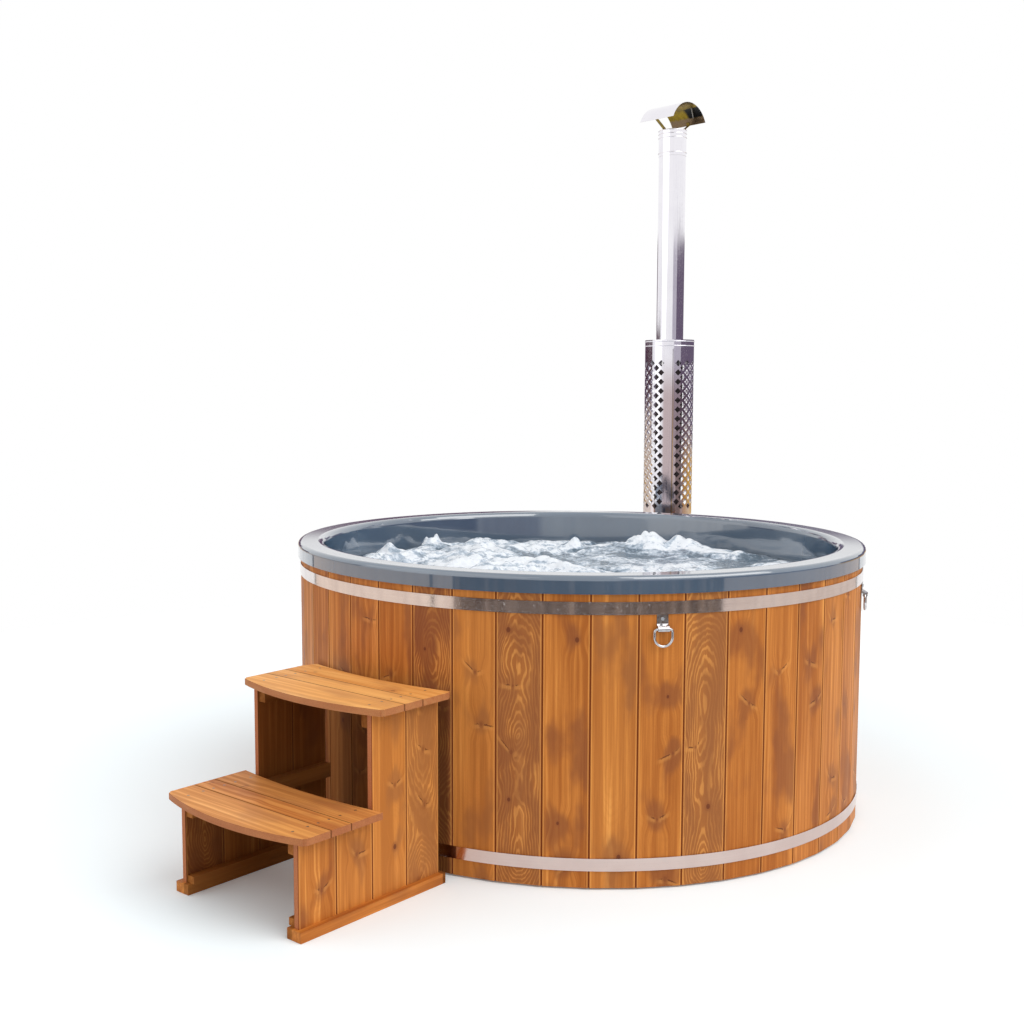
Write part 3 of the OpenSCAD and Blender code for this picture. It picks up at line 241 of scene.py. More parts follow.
def make_board_grain():
    """Oiled spruce: fibres, soft brown clouds, winged knots and, in some boards, arched rings."""
    plan, given, out = shader_group(
        "board_grain",
        [("Place", "Vector", None), ("Board", "Float", 0.0), ("Half Width", "Float", 1.0),
         ("Pale", "Color", (0.5, 0.2, 0.05, 1)), ("Dark", "Color", (0.25, 0.08, 0.02, 1)),
         ("Light", "Color", (0.8, 0.4, 0.1, 1)), ("Cloud", "Color", (0.2, 0.06, 0.03, 1)),
         ("Joint", "Color", (0.3, 0.08, 0.02, 1)), ("Clouds", "Float", 0.5),
         ("Knots", "Float", 1.0), ("Arches", "Float", 1.0), ("Chosen", "Float", 0.0),
         ("Spread", "Float", 0.4)],
        [("Color", "Color"), ("Roughness", "Float"), ("Height", "Float")])
    x, depth, along = plan.split(given["Place"])
    first, second, tint = plan.chance(given["Board"])
    third, pick, _ = plan.chance(plan.plus(given["Board"], 31.7))
    seed = plan.join(plan.times(first, 37.0), plan.times(second, 53.0), plan.times(third, 71.0))
    knots = draw_knots(plan, given, x, along, plan.times(first, 9.0))

    # Fibres, which bend around the knots
    fibre_place = plan.vector("ADD", plan.join(knots["bent"], depth, along), seed)
    streak = plan.noise(plan.stretch(fibre_place, 75, 60, 1.5), detail=3.0, rough=0.55)
    fine = plan.noise(plan.stretch(fibre_place, 300, 300, 6.0), detail=2.0, rough=0.6)
    broad = plan.noise(plan.stretch(fibre_place, 13, 13, 1.3), detail=2.0)
    tone = plan.plus(plan.fade(streak, 0.34, 0.64, 0.0, 0.58), plan.fade(broad, 0.34, 0.66, 0.0, 0.36),
                     plan.fade(fine, 0.32, 0.68, 0.0, 0.22))
    colour = plan.mix(tone, given["Pale"], given["Dark"])
    gleam = plan.times(plan.fade(streak, 0.44, 0.30), plan.fade(broad, 0.52, 0.34))
    colour = plan.mix(plan.times(gleam, 0.55), colour, given["Light"])

    # Arched rings, where a board was cut across them
    swirl = plan.noise(plan.vector("ADD", plan.stretch(given["Place"], 22, 22, 7), seed), detail=3.0)
    year = draw_rings(plan, knots["bent"], along, streak, swirl, third)
    arched = plan.most(plan.times(plan.fade(pick, 0.80, 0.84), given["Arches"]), given["Chosen"])
    colour = plan.mix(plan.times(arched, plan.fade(swirl, 0.3, 0.65, 0.52, 0.92)), colour, given["Cloud"])
    colour = plan.mix(plan.times(arched, year, 0.42), colour, given["Light"])
    colour = plan.mix(plan.times(plan.minus(1.0, arched), year, 0.12), colour, given["Dark"])

    # Clouds of a browner stain, more of them by the knots
    cloud_place = plan.vector("ADD", plan.stretch(given["Place"], 11, 11, 4.6), seed)
    cloud = plan.plus(plan.noise(cloud_place, detail=3.0, rough=0.45), plan.times(knots["near"], 0.17))
    colour = plan.mix(plan.times(plan.fade(cloud, 0.50, 0.68), given["Clouds"]), colour, given["Cloud"])

    # Each board has a tone of its own, and the knots lie over it
    shade = plan.times(plan.minus(tint, 0.5), given["Spread"])
    colour = plan.mix(plan.most(shade, 0.0), colour, given["Light"])
    colour = plan.mix(plan.most(plan.times(shade, -1.0), 0.0), colour, given["Dark"])
    colour = plan.mix(plan.times(knots["halo"], 0.26), colour, given["Light"])
    colour = plan.mix(plan.times(knots["ring"], 0.40), colour, given["Cloud"])
    colour = plan.mix(plan.times(knots["dash"], 0.85), colour, WING_COLOUR)
    colour = plan.mix(plan.times(knots["core"], 0.80), colour, KNOT_COLOUR)

    # A painted highlight along the bevels, where they catch the light, and the joints between boards are
    # dark
    side = plan.minus(given["Half Width"], plan.size(x))
    bevel_highlight = plan.fade(side, 0.0075, 0.0045)
    colour = plan.mix(plan.times(bevel_highlight, 0.42), colour, given["Light"])
    colour = plan.mix(plan.fade(side, 0.0038, 0.0012), colour, given["Joint"])
    rough = plan.plus(plan.fade(tone, 0.0, 1.0, 0.42, 0.56), plan.times(knots["core"], -0.08))
    height = plan.plus(plan.times(fine, 0.8), plan.times(streak, 0.5), plan.times(arched, year, 0.5),
                       plan.times(knots["core"], 0.6))
    plan.feed(out["Color"], colour)
    plan.feed(out["Roughness"], rough)
    plan.feed(out["Height"], height)
    return plan.tree


def make_worked_metal():
    """Drawn or brushed metal: fine lines along one direction, soft blotches and faint marks."""
    plan, given, out = shader_group(
        "worked_metal",
        [("Place", "Vector", None), ("Lines", "Vector", (4.0, 4.0, 900.0)),
         ("Tint", "Color", (0.7, 0.7, 0.7, 1)), ("Shade", "Color", (0.5, 0.5, 0.5, 1)),
         ("Polish", "Float", 0.15)],
        [("Color", "Color"), ("Roughness", "Float"), ("Height", "Float")])
    lines = plan.noise(plan.vector("MULTIPLY", given["Place"], given["Lines"]), detail=3.0, rough=0.6)
    blotch = plan.noise(given["Place"], scale=9.0, detail=3.0)
    marks = plan.noise(given["Place"], scale=130.0, detail=2.0)
    tone = plan.plus(plan.fade(lines, 0.25, 0.75, 0.0, 0.5), plan.fade(blotch, 0.35, 0.7, 0.0, 0.5))
    plan.feed(out["Color"], plan.mix(tone, given["Tint"], given["Shade"]))
    rough = plan.plus(given["Polish"], plan.fade(lines, 0.2, 0.8, 0.0, 0.10),
                      plan.fade(marks, 0.55, 0.8, 0.0, 0.08))
    plan.feed(out["Roughness"], rough)
    plan.feed(out["Height"], plan.plus(lines, plan.times(blotch, 0.4)))
    return plan.tree


def make_moulded_skin():
    """Cast, moulded or painted skin: small grain, broad tone changes and handling marks."""
    plan, given, out = shader_group(
        "moulded_skin",
        [("Place", "Vector", None), ("Tint", "Color", (0.5, 0.5, 0.5, 1)),
         ("Worn", "Color", (0.7, 0.7, 0.7, 1)), ("Grain", "Float", 400.0),
         ("Gloss", "Float", 0.4), ("Wear", "Float", 0.3)],
        [("Color", "Color"), ("Roughness", "Float"), ("Height", "Float")])
    grain = plan.noise(given["Place"], scale=given["Grain"], detail=3.0, rough=0.6)
    broad = plan.noise(given["Place"], scale=6.0, detail=3.0)
    scuff = plan.noise(plan.stretch(given["Place"], 60, 60, 14), detail=4.0, rough=0.7)
    tone = plan.times(plan.fade(scuff, 0.52, 0.78), given["Wear"])
    colour = plan.mix(tone, given["Tint"], given["Worn"])
    colour = plan.mix(plan.fade(broad, 0.3, 0.7, 0.0, 0.18), colour, (0.02, 0.02, 0.02, 1))
    plan.feed(out["Color"], colour)
    plan.feed(out["Roughness"], plan.plus(given["Gloss"], plan.fade(grain, 0.3, 0.7, -0.04, 0.10)))
    plan.feed(out["Height"], grain)
    return plan.tree


BOARD_GRAIN = make_board_grain()
WORKED_METAL = make_worked_metal()
MOULDED_SKIN = make_moulded_skin()


# Wood

# Painted shade: the dark colour laid where the steps shade the wood, also used for the tread gaps
PAINTED_SHADE_AND_GAP_COLOUR = (0.070, 0.020, 0.004, 1)


def steps_place(plan):
    """A place on the steps: left to right, away from the tub, and up."""
    place = plan.place()
    sine, cosine = math.sin(STEPS_TURN), math.cos(STEPS_TURN)
    side = plan.vector("DOT_PRODUCT", place, (cosine, -sine, 0))
    away = plan.vector("DOT_PRODUCT", place, (-sine, -cosine, 0))
    return side, away, plan.split(place)[2]


def wood(name, lay, pale, dark, light, cloud, joint, clouds=0.5, knots=1.0, arches=1.0, spread=0.4,
         half=1.0, broad=None, cut=(0.42, 0.135, 0.055, 1), painted_shade_and_gaps=None, arched_board=None):
    """Boards whose grain runs where lay(plan) says: it gives across, depth, along and a number.

    Faces turned away from the direction broad are cut ends and edges, in the colour cut.
    A mask of painted shade darkens wood behind and inside the steps and under treads, and marks tread gaps.
    The board with the number arched_board has arched rings whatever chance says.
    """

    def draw(plan):
        across, depth, along, number = lay(plan)
        chosen = 0.0 if arched_board is None else plan.math("COMPARE", number, arched_board, 0.5)
        grain = plan.use(BOARD_GRAIN, Place=plan.join(across, depth, along), Board=number,
                         Half_Width=half, Pale=pale, Dark=dark, Light=light, Cloud=cloud, Joint=joint,
                         Clouds=clouds, Knots=knots, Arches=arches, Chosen=chosen, Spread=spread)
        colour, rough = grain["Color"], grain["Roughness"]
        if broad:
            turned = plan.size(plan.vector("DOT_PRODUCT", plan.facing(), broad))
            ends = plan.fade(turned, 0.55, 0.30)
            pores = plan.noise(plan.place(), scale=420.0, detail=2.0)
            deep = (*(0.78 * value for value in cut[:3]), 1)
            shade = plan.mix(plan.fade(pores, 0.35, 0.65), cut, deep)
            colour = plan.mix(plan.times(ends, 0.80), colour, shade)
            rough = plan.plus(rough, plan.times(ends, 0.12))
        # Painted shade, and the dark lines of the tread gaps: a dark colour and a rougher surface
        if painted_shade_and_gaps:
            dim = painted_shade_and_gaps(plan)
            colour = plan.mix(plan.times(dim, 0.68), colour, PAINTED_SHADE_AND_GAP_COLOUR)
            rough = plan.plus(rough, plan.times(dim, 0.45))
        return {"Base_Color": colour, "Roughness": rough, "Normal": plan.bump(grain["Height"], 0.0005, 0.5)}

    return finish(name, draw, Specular_IOR_Level=0.18)


def around_the_tub(plan):
    """Upright boards in a ring, one for every BOARD_STEP degrees."""
    x, y, z = plan.split(plan.place())
    turn = plan.times(plan.math("ARCTAN2", y, x), 180 / math.pi)
    number = plan.math("FLOOR", plan.math("DIVIDE", plan.minus(turn, BOARD_START), BOARD_STEP))
    degrees = plan.plus(plan.times(number, BOARD_STEP), BOARD_START + BOARD_STEP / 2)
    middle = plan.times(degrees, math.pi / 180)
    sine, cosine = plan.math("SINE", middle), plan.math("COSINE", middle)
    across = plan.minus(plan.times(y, cosine), plan.times(x, sine))
    out = plan.plus(plan.times(x, cosine), plan.times(y, sine))
    return across, plan.minus(BOARD_FACE, out), z, number


def shade_behind_the_steps(plan):
    """Painted shade on the tub's boards between the two panels of the steps and under the upper tread."""
    side, away, up = steps_place(plan)
    across = plan.times(plan.fade(side, 0.256, 0.232), plan.fade(side, -0.420, -0.340))
    return plan.times(across, plan.fade(up, 0.585, 0.540), plan.math("GREATER_THAN", away, 0.5))


def shade_between_the_panels(plan):
    """Painted shade on the inner faces of the steps, darker towards the tub, and on the edges that face the
    tub.
    """
    side, away, _ = steps_place(plan)
    inner = plan.times(plan.fade(plan.size(side), 0.2395, 0.2385), plan.fade(away, 1.62, 1.25, 0.55, 1.0))
    return plan.most(inner, plan.fade(away, PANEL_START + 0.005, PANEL_START + 0.001))


def gaps_and_underside_shade(joints):
    """Painted shade on a tread's underside, and the dark lines of the gaps at the joints between its
    boards.
    """

    def painted_shade_and_gaps(plan):
        away = steps_place(plan)[1]
        below = plan.fade(plan.vector("DOT_PRODUCT", plan.facing(), (0, 0, 1)), -0.4, -0.7)
        first, second = (plan.fade(plan.size(plan.minus(away, joint)), 0.0036, 0.0014) for joint in joints)
        return plan.most(plan.times(below, 0.8), plan.times(plan.most(first, second), 0.85))

    return painted_shade_and_gaps


def side_panel(seed):
    """Upright boards side by side, away from the tub."""

    def lay(plan):
        side, away, up = steps_place(plan)
        number = plan.math("FLOOR", plan.math("DIVIDE", plan.minus(away, PANEL_START), PANEL_BOARD))
        middle = plan.plus(plan.times(number, PANEL_BOARD), PANEL_START + PANEL_BOARD / 2)
        return plan.minus(away, middle), side, up, plan.plus(number, seed)

    return lay


def tread(seed, joints):
    """Three boards across the steps, with joints at these distances from the tub's middle."""

    def lay(plan):
        side, away, up = steps_place(plan)
        first, second = (plan.math("GREATER_THAN", away, joint) for joint in joints)
        return plan.minus(away, joints[0]), up, side, plan.plus(first, second, seed)

    return lay


def step_rails(plan):
    side, away, up = steps_place(plan)
    number = plan.plus(plan.math("FLOOR", plan.times(side, 4.0)), 61.0)
    return side, plan.minus(up, 0.03), away, number


def along_axis(across, depth, along, seed):
    def lay(plan):
        parts = plan.split(plan.place())
        number = plan.plus(plan.math("FLOOR", plan.times(parts[across], 6.0)), seed)
        return parts[across], parts[depth], parts[along], number
    return lay


OILED = dict(pale=(0.66, 0.235, 0.042, 1), dark=(0.385, 0.110, 0.016, 1), light=(0.90, 0.400, 0.095, 1),
             cloud=(0.245, 0.072, 0.022, 1), joint=(0.225, 0.050, 0.010, 1))
# Painted light and shade: the two treads are one oiled wood, a lit copy for the upper tread and a darker,
# shaded copy for the lower
LOWER_TREAD_SHADED_OIL = dict(pale=(0.84, 0.365, 0.092, 1), dark=(0.48, 0.150, 0.032, 1), light=(0.98, 0.560, 0.190, 1),
                 cloud=(0.36, 0.110, 0.036, 1), joint=(0.20, 0.045, 0.010, 1))
UPPER_TREAD_LIT_OIL = dict(pale=(0.98, 0.500, 0.150, 1), dark=(0.66, 0.255, 0.056, 1), light=(0.99, 0.640, 0.260, 1),
                 cloud=(0.42, 0.140, 0.045, 1), joint=(0.20, 0.045, 0.010, 1))
UNOILED = dict(pale=(0.62, 0.44, 0.25, 1), dark=(0.42, 0.25, 0.11, 1), light=(0.74, 0.58, 0.38, 1),
               cloud=(0.30, 0.17, 0.08, 1), joint=(0.2, 0.1, 0.04, 1))
ACROSS_STEPS = (math.cos(STEPS_TURN), -math.sin(STEPS_TURN), 0)

BOARD_WOOD = wood("board_wood", around_the_tub, **OILED, clouds=0.72, half=BOARD_HALF, spread=0.34,
                  painted_shade_and_gaps=shade_behind_the_steps, arched_board=-13)
PANEL_WOODS = {name: wood(f"{name}_wood", side_panel(seed), **OILED, clouds=0.7, half=PANEL_BOARD / 2,
                          broad=ACROSS_STEPS, cut=(0.55, 0.190, 0.075, 1), painted_shade_and_gaps=shade_between_the_panels)
               for name, seed in (("left_panel", 101.0), ("right_panel", 131.0))}
TREAD_WOODS = {name: wood(f"{name}_wood", tread(seed, joints), **oil, clouds=0.5, knots=0.6, arches=0.0,
                          broad=(0, 0, 1), cut=(0.40, 0.135, 0.058, 1), painted_shade_and_gaps=gaps_and_underside_shade(joints))
               for name, seed, joints, oil in (("lower_tread", 151.0, LOWER_TREAD_JOINTS, LOWER_TREAD_SHADED_OIL),
                                               ("upper_tread", 171.0, UPPER_TREAD_JOINTS, UPPER_TREAD_LIT_OIL))}
RAIL_WOOD = wood("rail_wood", step_rails, **OILED, knots=0.5, arches=0.0, painted_shade_and_gaps=shade_between_the_panels)
RAW_WOOD = wood("raw_wood", along_axis(0, 2, 1, 201.0), **UNOILED, knots=0.8)
POST_WOOD = wood("post_wood", along_axis(0, 1, 2, 231.0), **UNOILED, knots=0.4)


def draw_plywood(plan):
    place = plan.place()
    x, y, z = plan.split(place)
    grain = plan.use(BOARD_GRAIN, Place=plan.join(x, z, y), Board=260.0, Pale=(0.55, 0.36, 0.19, 1),
                     Dark=(0.40, 0.23, 0.10, 1), Light=(0.66, 0.47, 0.28, 1), Cloud=(0.3, 0.16, 0.07, 1),
                     Clouds=0.3, Knots=0.6, Arches=1.0)
    ply = plan.math("FRACT", plan.times(z, 333.0))
    colour = plan.mix(plan.fade(ply, 0.45, 0.55, 0.0, 0.25), grain["Color"], (0.22, 0.11, 0.04, 1))
    return {"Base_Color": colour, "Roughness": grain["Roughness"],
            "Normal": plan.bump(grain["Height"], 0.0006, 0.6)}


PLYWOOD = finish("plywood", draw_plywood, Specular_IOR_Level=0.3)


# Metals

MIRROR = dict(Tint=(0.90, 0.885, 0.92, 1), Shade=(0.83, 0.81, 0.86, 1), Polish=0.03)
# Painted shade: the colour of the flue pipe inside the heat guard
GUARDED_PIPE_SHADE = (0.075, 0.062, 0.066, 1)
# Painted reflection: the black patch inside the hood
HOOD_DARK_REFLECTION = (0.004, 0.003, 0.003, 1)


def metal(name, tint, shade, polish, lines=(4.0, 4.0, 900.0), depth=0.00004, **plain):
    def draw(plan):
        work = plan.use(WORKED_METAL, Place=plan.place(), Lines=lines, Tint=tint, Shade=shade,
                        Polish=polish)
        return {"Base_Color": work["Color"], "Roughness": work["Roughness"],
                "Normal": plan.bump(work["Height"], depth, 0.5)}

    return finish(name, draw, **{"Metallic": 1.0, **plain})


HOOP_STEEL = metal("hoop_steel", (0.86, 0.81, 0.79, 1), (0.72, 0.65, 0.63, 1), 0.05,
                   lines=(3.0, 3.0, 1100.0), depth=0.00002)
# Painted shade: the lower hoop is the upper hoop's steel in a darker, shaded copy
SHADED_LOWER_HOOP_STEEL = metal("shaded_lower_hoop_steel", (0.68, 0.565, 0.53, 1), (0.60, 0.48, 0.45, 1), 0.05,
                         lines=(3.0, 3.0, 1100.0), depth=0.00002)
POLISHED_STEEL = metal("polished_steel", (0.66, 0.65, 0.66, 1), (0.44, 0.43, 0.44, 1), 0.08,
                       lines=(90.0, 90.0, 90.0))
ZINC_STEEL = metal("zinc_steel", (0.66, 0.67, 0.68, 1), (0.42, 0.43, 0.46, 1), 0.28,
                   lines=(90.0, 90.0, 90.0), depth=0.0001)
SCREW_STEEL = metal("screw_steel", (0.36, 0.33, 0.30, 1), (0.20, 0.17, 0.15, 1), 0.30,
                    lines=(300.0, 300.0, 300.0))
BRASS = metal("brass", (0.72, 0.50, 0.20, 1), (0.48, 0.30, 0.10, 1), 0.22, lines=(160.0, 160.0, 160.0))
COLLAR_STEEL = metal("collar_steel", MIRROR["Tint"], MIRROR["Shade"], MIRROR["Polish"],
                     lines=(400.0, 400.0, 3.0), depth=0.00002)


def draw_flue(plan):
    """Mirror steel above the heat guard; inside the guard the pipe is drawn dark, in painted shade."""
    place = plan.place()
    work = plan.use(WORKED_METAL, Place=place, Lines=(400.0, 400.0, 3.0), **MIRROR)
    # The noise named heat only makes the edge of the painted shade uneven
    heat = plan.times(plan.minus(plan.noise(place, scale=20.0, detail=3.0), 0.5), 0.02)
    guarded = plan.fade(plan.plus(plan.split(place)[2], heat), 1.690, 1.665)
    return {"Base_Color": plan.mix(guarded, work["Color"], GUARDED_PIPE_SHADE),
            "Roughness": plan.plus(work["Roughness"], plan.times(guarded, 0.30)),
            "Normal": plan.bump(work["Height"], 0.00002, 0.5)}


def painted_reflection_tint(plan, place):
    """Painted reflection: straw and bronze on the steel, darker in blotches, for what it reflects."""
    blotch = plan.noise(place, scale=26.0, detail=3.0)
    colour = plan.mix(plan.fade(blotch, 0.3, 0.7), (0.26, 0.165, 0.010, 1), (0.15, 0.092, 0.006, 1))
    soot_and_dark_reflection = plan.noise(place, scale=60.0, detail=3.0)
    return plan.mix(plan.fade(soot_and_dark_reflection, 0.55, 0.8, 0.0, 0.5), colour, (0.05, 0.03, 0.015, 1))


def draw_strap(plan):
    place = plan.place()
    # Painted reflection on the legs
    return {"Base_Color": painted_reflection_tint(plan, place),
            "Roughness": plan.fade(plan.noise(place, scale=90.0), 0.3, 0.7, 0.14, 0.26)}


def draw_hood(plan):
    """Mirror steel outside; inside, painted reflections: straw, bronze low on one side and a black patch in
    one corner.
    """
    place = plan.place()
    work = plan.use(WORKED_METAL, Place=place, Lines=(300.0, 300.0, 300.0), **MIRROR)
    inside = plan.fade(plan.vector("DOT_PRODUCT", plan.facing(), (0, 0, 1)), -0.01, -0.08)
    from_flue = plan.vector("SUBTRACT", place, (FLUE_X, FLUE_Y, 0))
    along = plan.vector("DOT_PRODUCT", from_flue, (math.cos(HOOD_TURN), -math.sin(HOOD_TURN), 0))
    across = plan.vector("DOT_PRODUCT", from_flue, (math.sin(HOOD_TURN), math.cos(HOOD_TURN), 0))
    z = plan.split(place)[2]
    straw = painted_reflection_tint(plan, place)
    ripple = plan.times(plan.minus(plan.noise(place, scale=45.0, detail=2.0), 0.5), 0.02)
    # Painted reflections: a bronze band low on one side and a black patch in one corner
    bronze = plan.times(plan.fade(across, 0.045, 0.060), plan.fade(plan.plus(z, ripple), 2.690, 2.680))
    straw = plan.mix(plan.times(bronze, 0.8), straw, (0.17, 0.110, 0.075, 1))
    black = plan.times(plan.fade(plan.plus(across, ripple), 0.050, 0.058), plan.fade(along, 0.005, 0.020),
                       plan.fade(plan.plus(z, ripple), 2.680, 2.686), plan.fade(z, 2.728, 2.716))
    straw = plan.mix(black, straw, HOOD_DARK_REFLECTION)
    # A painted glint: a thin pale line across the black patch
    gleam = plan.fade(plan.size(plan.minus(plan.plus(along, plan.times(across, 0.5)), 0.085)), 0.004, 0.001)
    straw = plan.mix(plan.times(gleam, black, 0.6), straw, (0.65, 0.62, 0.60, 1))
    return {"Base_Color": plan.mix(inside, work["Color"], straw),
            "Metallic": plan.fade(inside, 0.0, 1.0, 1.0, 0.85),
            "Roughness": plan.plus(work["Roughness"], plan.times(inside, 0.16)),
            "Normal": plan.bump(work["Height"], 0.00003, 0.5)}


def draw_guard(plan):
    """Mirror steel sheet with the dark line of its lap seam and a bronze edge beside it."""
    place = plan.place()
    work = plan.use(WORKED_METAL, Place=place, Lines=(300.0, 300.0, 4.0), Tint=(0.88, 0.86, 0.90, 1),
                    Shade=(0.78, 0.76, 0.82, 1), Polish=0.04)
    x, y, z = plan.split(plan.vector("SUBTRACT", place, (FLUE_X, FLUE_Y, 0)))
    turn = plan.times(plan.math("ARCTAN2", x, plan.times(y, -1.0)), 180 / math.pi)
    sheet = plan.fade(z, 1.652, 1.648)
    seam = plan.times(plan.fade(plan.size(plan.minus(turn, 4.4)), 0.9, 0.45), sheet)
    bronze = plan.times(plan.fade(plan.size(plan.minus(turn, 6.1)), 1.6, 0.9), sheet,
                        plan.fade(z, 1.60, 1.25))
    # Painted reflection: purplish and darker on the front of the guard, towards the bottom
    front_painted_reflection = plan.times(plan.fade(turn, -22.0, -14.0), plan.fade(turn, 60.0, 30.0),
                        plan.fade(z, 1.64, 1.42))
    colour = plan.mix(front_painted_reflection, work["Color"], (0.52, 0.42, 0.43, 1))
    colour = plan.mix(plan.times(bronze, 0.75), colour, (0.42, 0.26, 0.09, 1))
    colour = plan.mix(plan.times(seam, 0.75), colour, (0.12, 0.09, 0.10, 1))
    # Painted shade on the guard's inner face
    inside = plan.put("NewGeometry").outputs["Backfacing"]
    colour = plan.mix(plan.times(inside, 0.7), colour, (0.16, 0.14, 0.15, 1))
    return {"Base_Color": colour, "Roughness": work["Roughness"],
            "Normal": plan.bump(plan.plus(work["Height"], plan.times(seam, -6.0)), 0.00003, 0.6)}


FLUE_STEEL = finish("flue_steel", draw_flue, Metallic=1.0)
STRAP_STEEL = finish("strap_steel", draw_strap, Metallic=0.6)
HOOD_STEEL = finish("hood_steel", draw_hood)
GUARD_STEEL = finish("guard_steel", draw_guard, Metallic=1.0)


# Moulded, cast and painted

def moulded(name, tint, worn, grain=400.0, gloss=0.4, wear=0.3, depth=0.0002, **plain):
    def draw(plan):
        skin = plan.use(MOULDED_SKIN, Place=plan.place(), Tint=tint, Worn=worn, Grain=grain,
                        Gloss=gloss, Wear=wear)
        return {"Base_Color": skin["Color"], "Roughness": skin["Roughness"],
                "Normal": plan.bump(skin["Height"], depth, 0.5)}

    return finish(name, draw, **plain)


def draw_gelcoat(plan):
    """Slate blue gelcoat: a hard gloss with a faint ripple, clouds and hairline marks."""
    place = plan.place()
    ripple = plan.noise(place, scale=4.0, detail=1.0)
    cloud = plan.noise(place, scale=2.2, detail=4.0, rough=0.6)
    hair = plan.noise(plan.stretch(place, 30, 30, 240), detail=3.0, rough=0.7)
    colour = plan.mix(plan.fade(cloud, 0.3, 0.7), (0.056, 0.092, 0.142, 1), (0.078, 0.122, 0.180, 1))
    colour = plan.mix(plan.fade(hair, 0.62, 0.85, 0.0, 0.25), colour, (0.18, 0.22, 0.28, 1))
    rough = plan.plus(plan.fade(cloud, 0.3, 0.7, 0.08, 0.14), plan.fade(hair, 0.6, 0.85, 0.0, 0.10))
    return {"Base_Color": colour, "Roughness": rough, "Normal": plan.bump(ripple, 0.0008, 0.5)}


GELCOAT = finish("gelcoat", draw_gelcoat, Specular_IOR_Level=0.9, Coat_Weight=1.0, Coat_Roughness=0.03,
                 Coat_IOR=1.85)
WHITE_PLASTIC = moulded("white_plastic", (0.72, 0.72, 0.70, 1), (0.55, 0.54, 0.51, 1), gloss=0.35)
GREY_PLASTIC = moulded("grey_plastic", (0.16, 0.17, 0.18, 1), (0.30, 0.31, 0.32, 1), gloss=0.42)
RED_PLASTIC = moulded("red_plastic", (0.42, 0.025, 0.018, 1), (0.55, 0.16, 0.12, 1), gloss=0.35)
RUBBER = moulded("rubber", (0.018, 0.018, 0.019, 1), (0.07, 0.07, 0.07, 1), gloss=0.62, wear=0.5)
STOVE_STEEL = moulded("stove_steel", (0.026, 0.027, 0.029, 1), (0.10, 0.095, 0.09, 1), grain=900.0,
                      gloss=0.48, wear=0.35, Metallic=0.3)
CAST_IRON = moulded("cast_iron", (0.020, 0.020, 0.021, 1), (0.11, 0.075, 0.055, 1), grain=260.0,
                    gloss=0.55, wear=0.5, depth=0.0006, Metallic=0.5)


def draw_foam_block(plan):
    place = plan.place()
    cells = plan.put("TexVoronoi", {"Vector": place, "Scale": 160.0}).outputs["Distance"]
    lumps = plan.noise(place, scale=14.0, detail=3.0)
    colour = plan.mix(plan.fade(lumps, 0.3, 0.7), (0.62, 0.50, 0.24, 1), (0.72, 0.62, 0.36, 1))
    colour = plan.mix(plan.fade(cells, 0.35, 0.7, 0.0, 0.4), colour, (0.40, 0.28, 0.10, 1))
    return {"Base_Color": colour, "Roughness": plan.fade(cells, 0.0, 0.7, 0.75, 0.9),
            "Normal": plan.bump(plan.plus(plan.times(lumps, 4.0), cells), 0.003, 0.7)}


def draw_rope(plan):
    place = plan.place()
    x, y, z = plan.split(place)
    lay = plan.math("SINE", plan.times(plan.plus(x, y, z), 900.0))
    fluff = plan.noise(place, scale=600.0, detail=3.0)
    colour = plan.mix(plan.fade(lay, -1.0, 1.0), (0.10, 0.10, 0.095, 1), (0.32, 0.31, 0.29, 1))
    return {"Base_Color": plan.mix(plan.fade(fluff, 0.4, 0.8, 0.0, 0.4), colour, (0.5, 0.49, 0.46, 1)),
            "Roughness": plan.fade(fluff, 0.0, 1.0, 0.8, 0.95), "Normal": plan.bump(lay, 0.0008, 0.7)}


def draw_stove_glass(plan):
    place = plan.place()
    haze = plan.noise(place, scale=12.0, detail=4.0, rough=0.6)
    z = plan.split(place)[2]
    soot_and_dark_reflection = plan.times(plan.fade(haze, 0.35, 0.75), plan.fade(z, 0.56, 0.66, 0.35, 1.0))
    return {"Base_Color": plan.mix(soot_and_dark_reflection, (0.42, 0.36, 0.30, 1), (0.05, 0.035, 0.02, 1)),
            "Roughness": plan.fade(soot_and_dark_reflection, 0.0, 1.0, 0.03, 0.35)}


FOAM_BLOCK = finish("foam_block", draw_foam_block, Specular_IOR_Level=0.2)
ROPE = finish("rope", draw_rope, Specular_IOR_Level=0.1)
STOVE_GLASS = finish("stove_glass", draw_stove_glass, Transmission_Weight=0.85, IOR=1.5)


# Finishes on the pieces of the construction

def dress(finish_used, *names):
    for name in names:
        piece = nodes[name]
        piece.data.materials.clear()
        piece.data.materials.append(finish_used)


dress(GELCOAT, "tub_liner")
dress(FOAM_BLOCK, "foam_insulation")
dress(BOARD_WOOD, "staves")
for panel, made in {**PANEL_WOODS, **TREAD_WOODS}.items():
    dress(made, panel)
dress(RAIL_WOOD, "step_frame")
dress(RAW_WOOD, "bearers")
dress(POST_WOOD, "bench_posts")
dress(PLYWOOD, "base_deck")
dress(HOOP_STEEL, "upper_hoop")
dress(SHADED_LOWER_HOOP_STEEL, "lower_hoop")
dress(POLISHED_STEEL, "lug_plates", "d_ring_1", "d_ring_2", "d_ring_3", "d_ring_4", "air_nozzles",
      "button_bezel", "pipe_coupler", "guard_brackets", "hose_clamps", "air_regulator", "door_latch")
dress(ZINC_STEEL, "lug_screws", "hoop_bolts", "blower_motor")
dress(FLUE_STEEL, "flue_pipe_lower", "flue_pipe_upper")
dress(COLLAR_STEEL, "cap_collar")
dress(HOOD_STEEL, "cap_hood")
dress(STRAP_STEEL, "cap_legs")
dress(WHITE_PLASTIC, "drain_flange", "water_fittings", "blower_impeller")
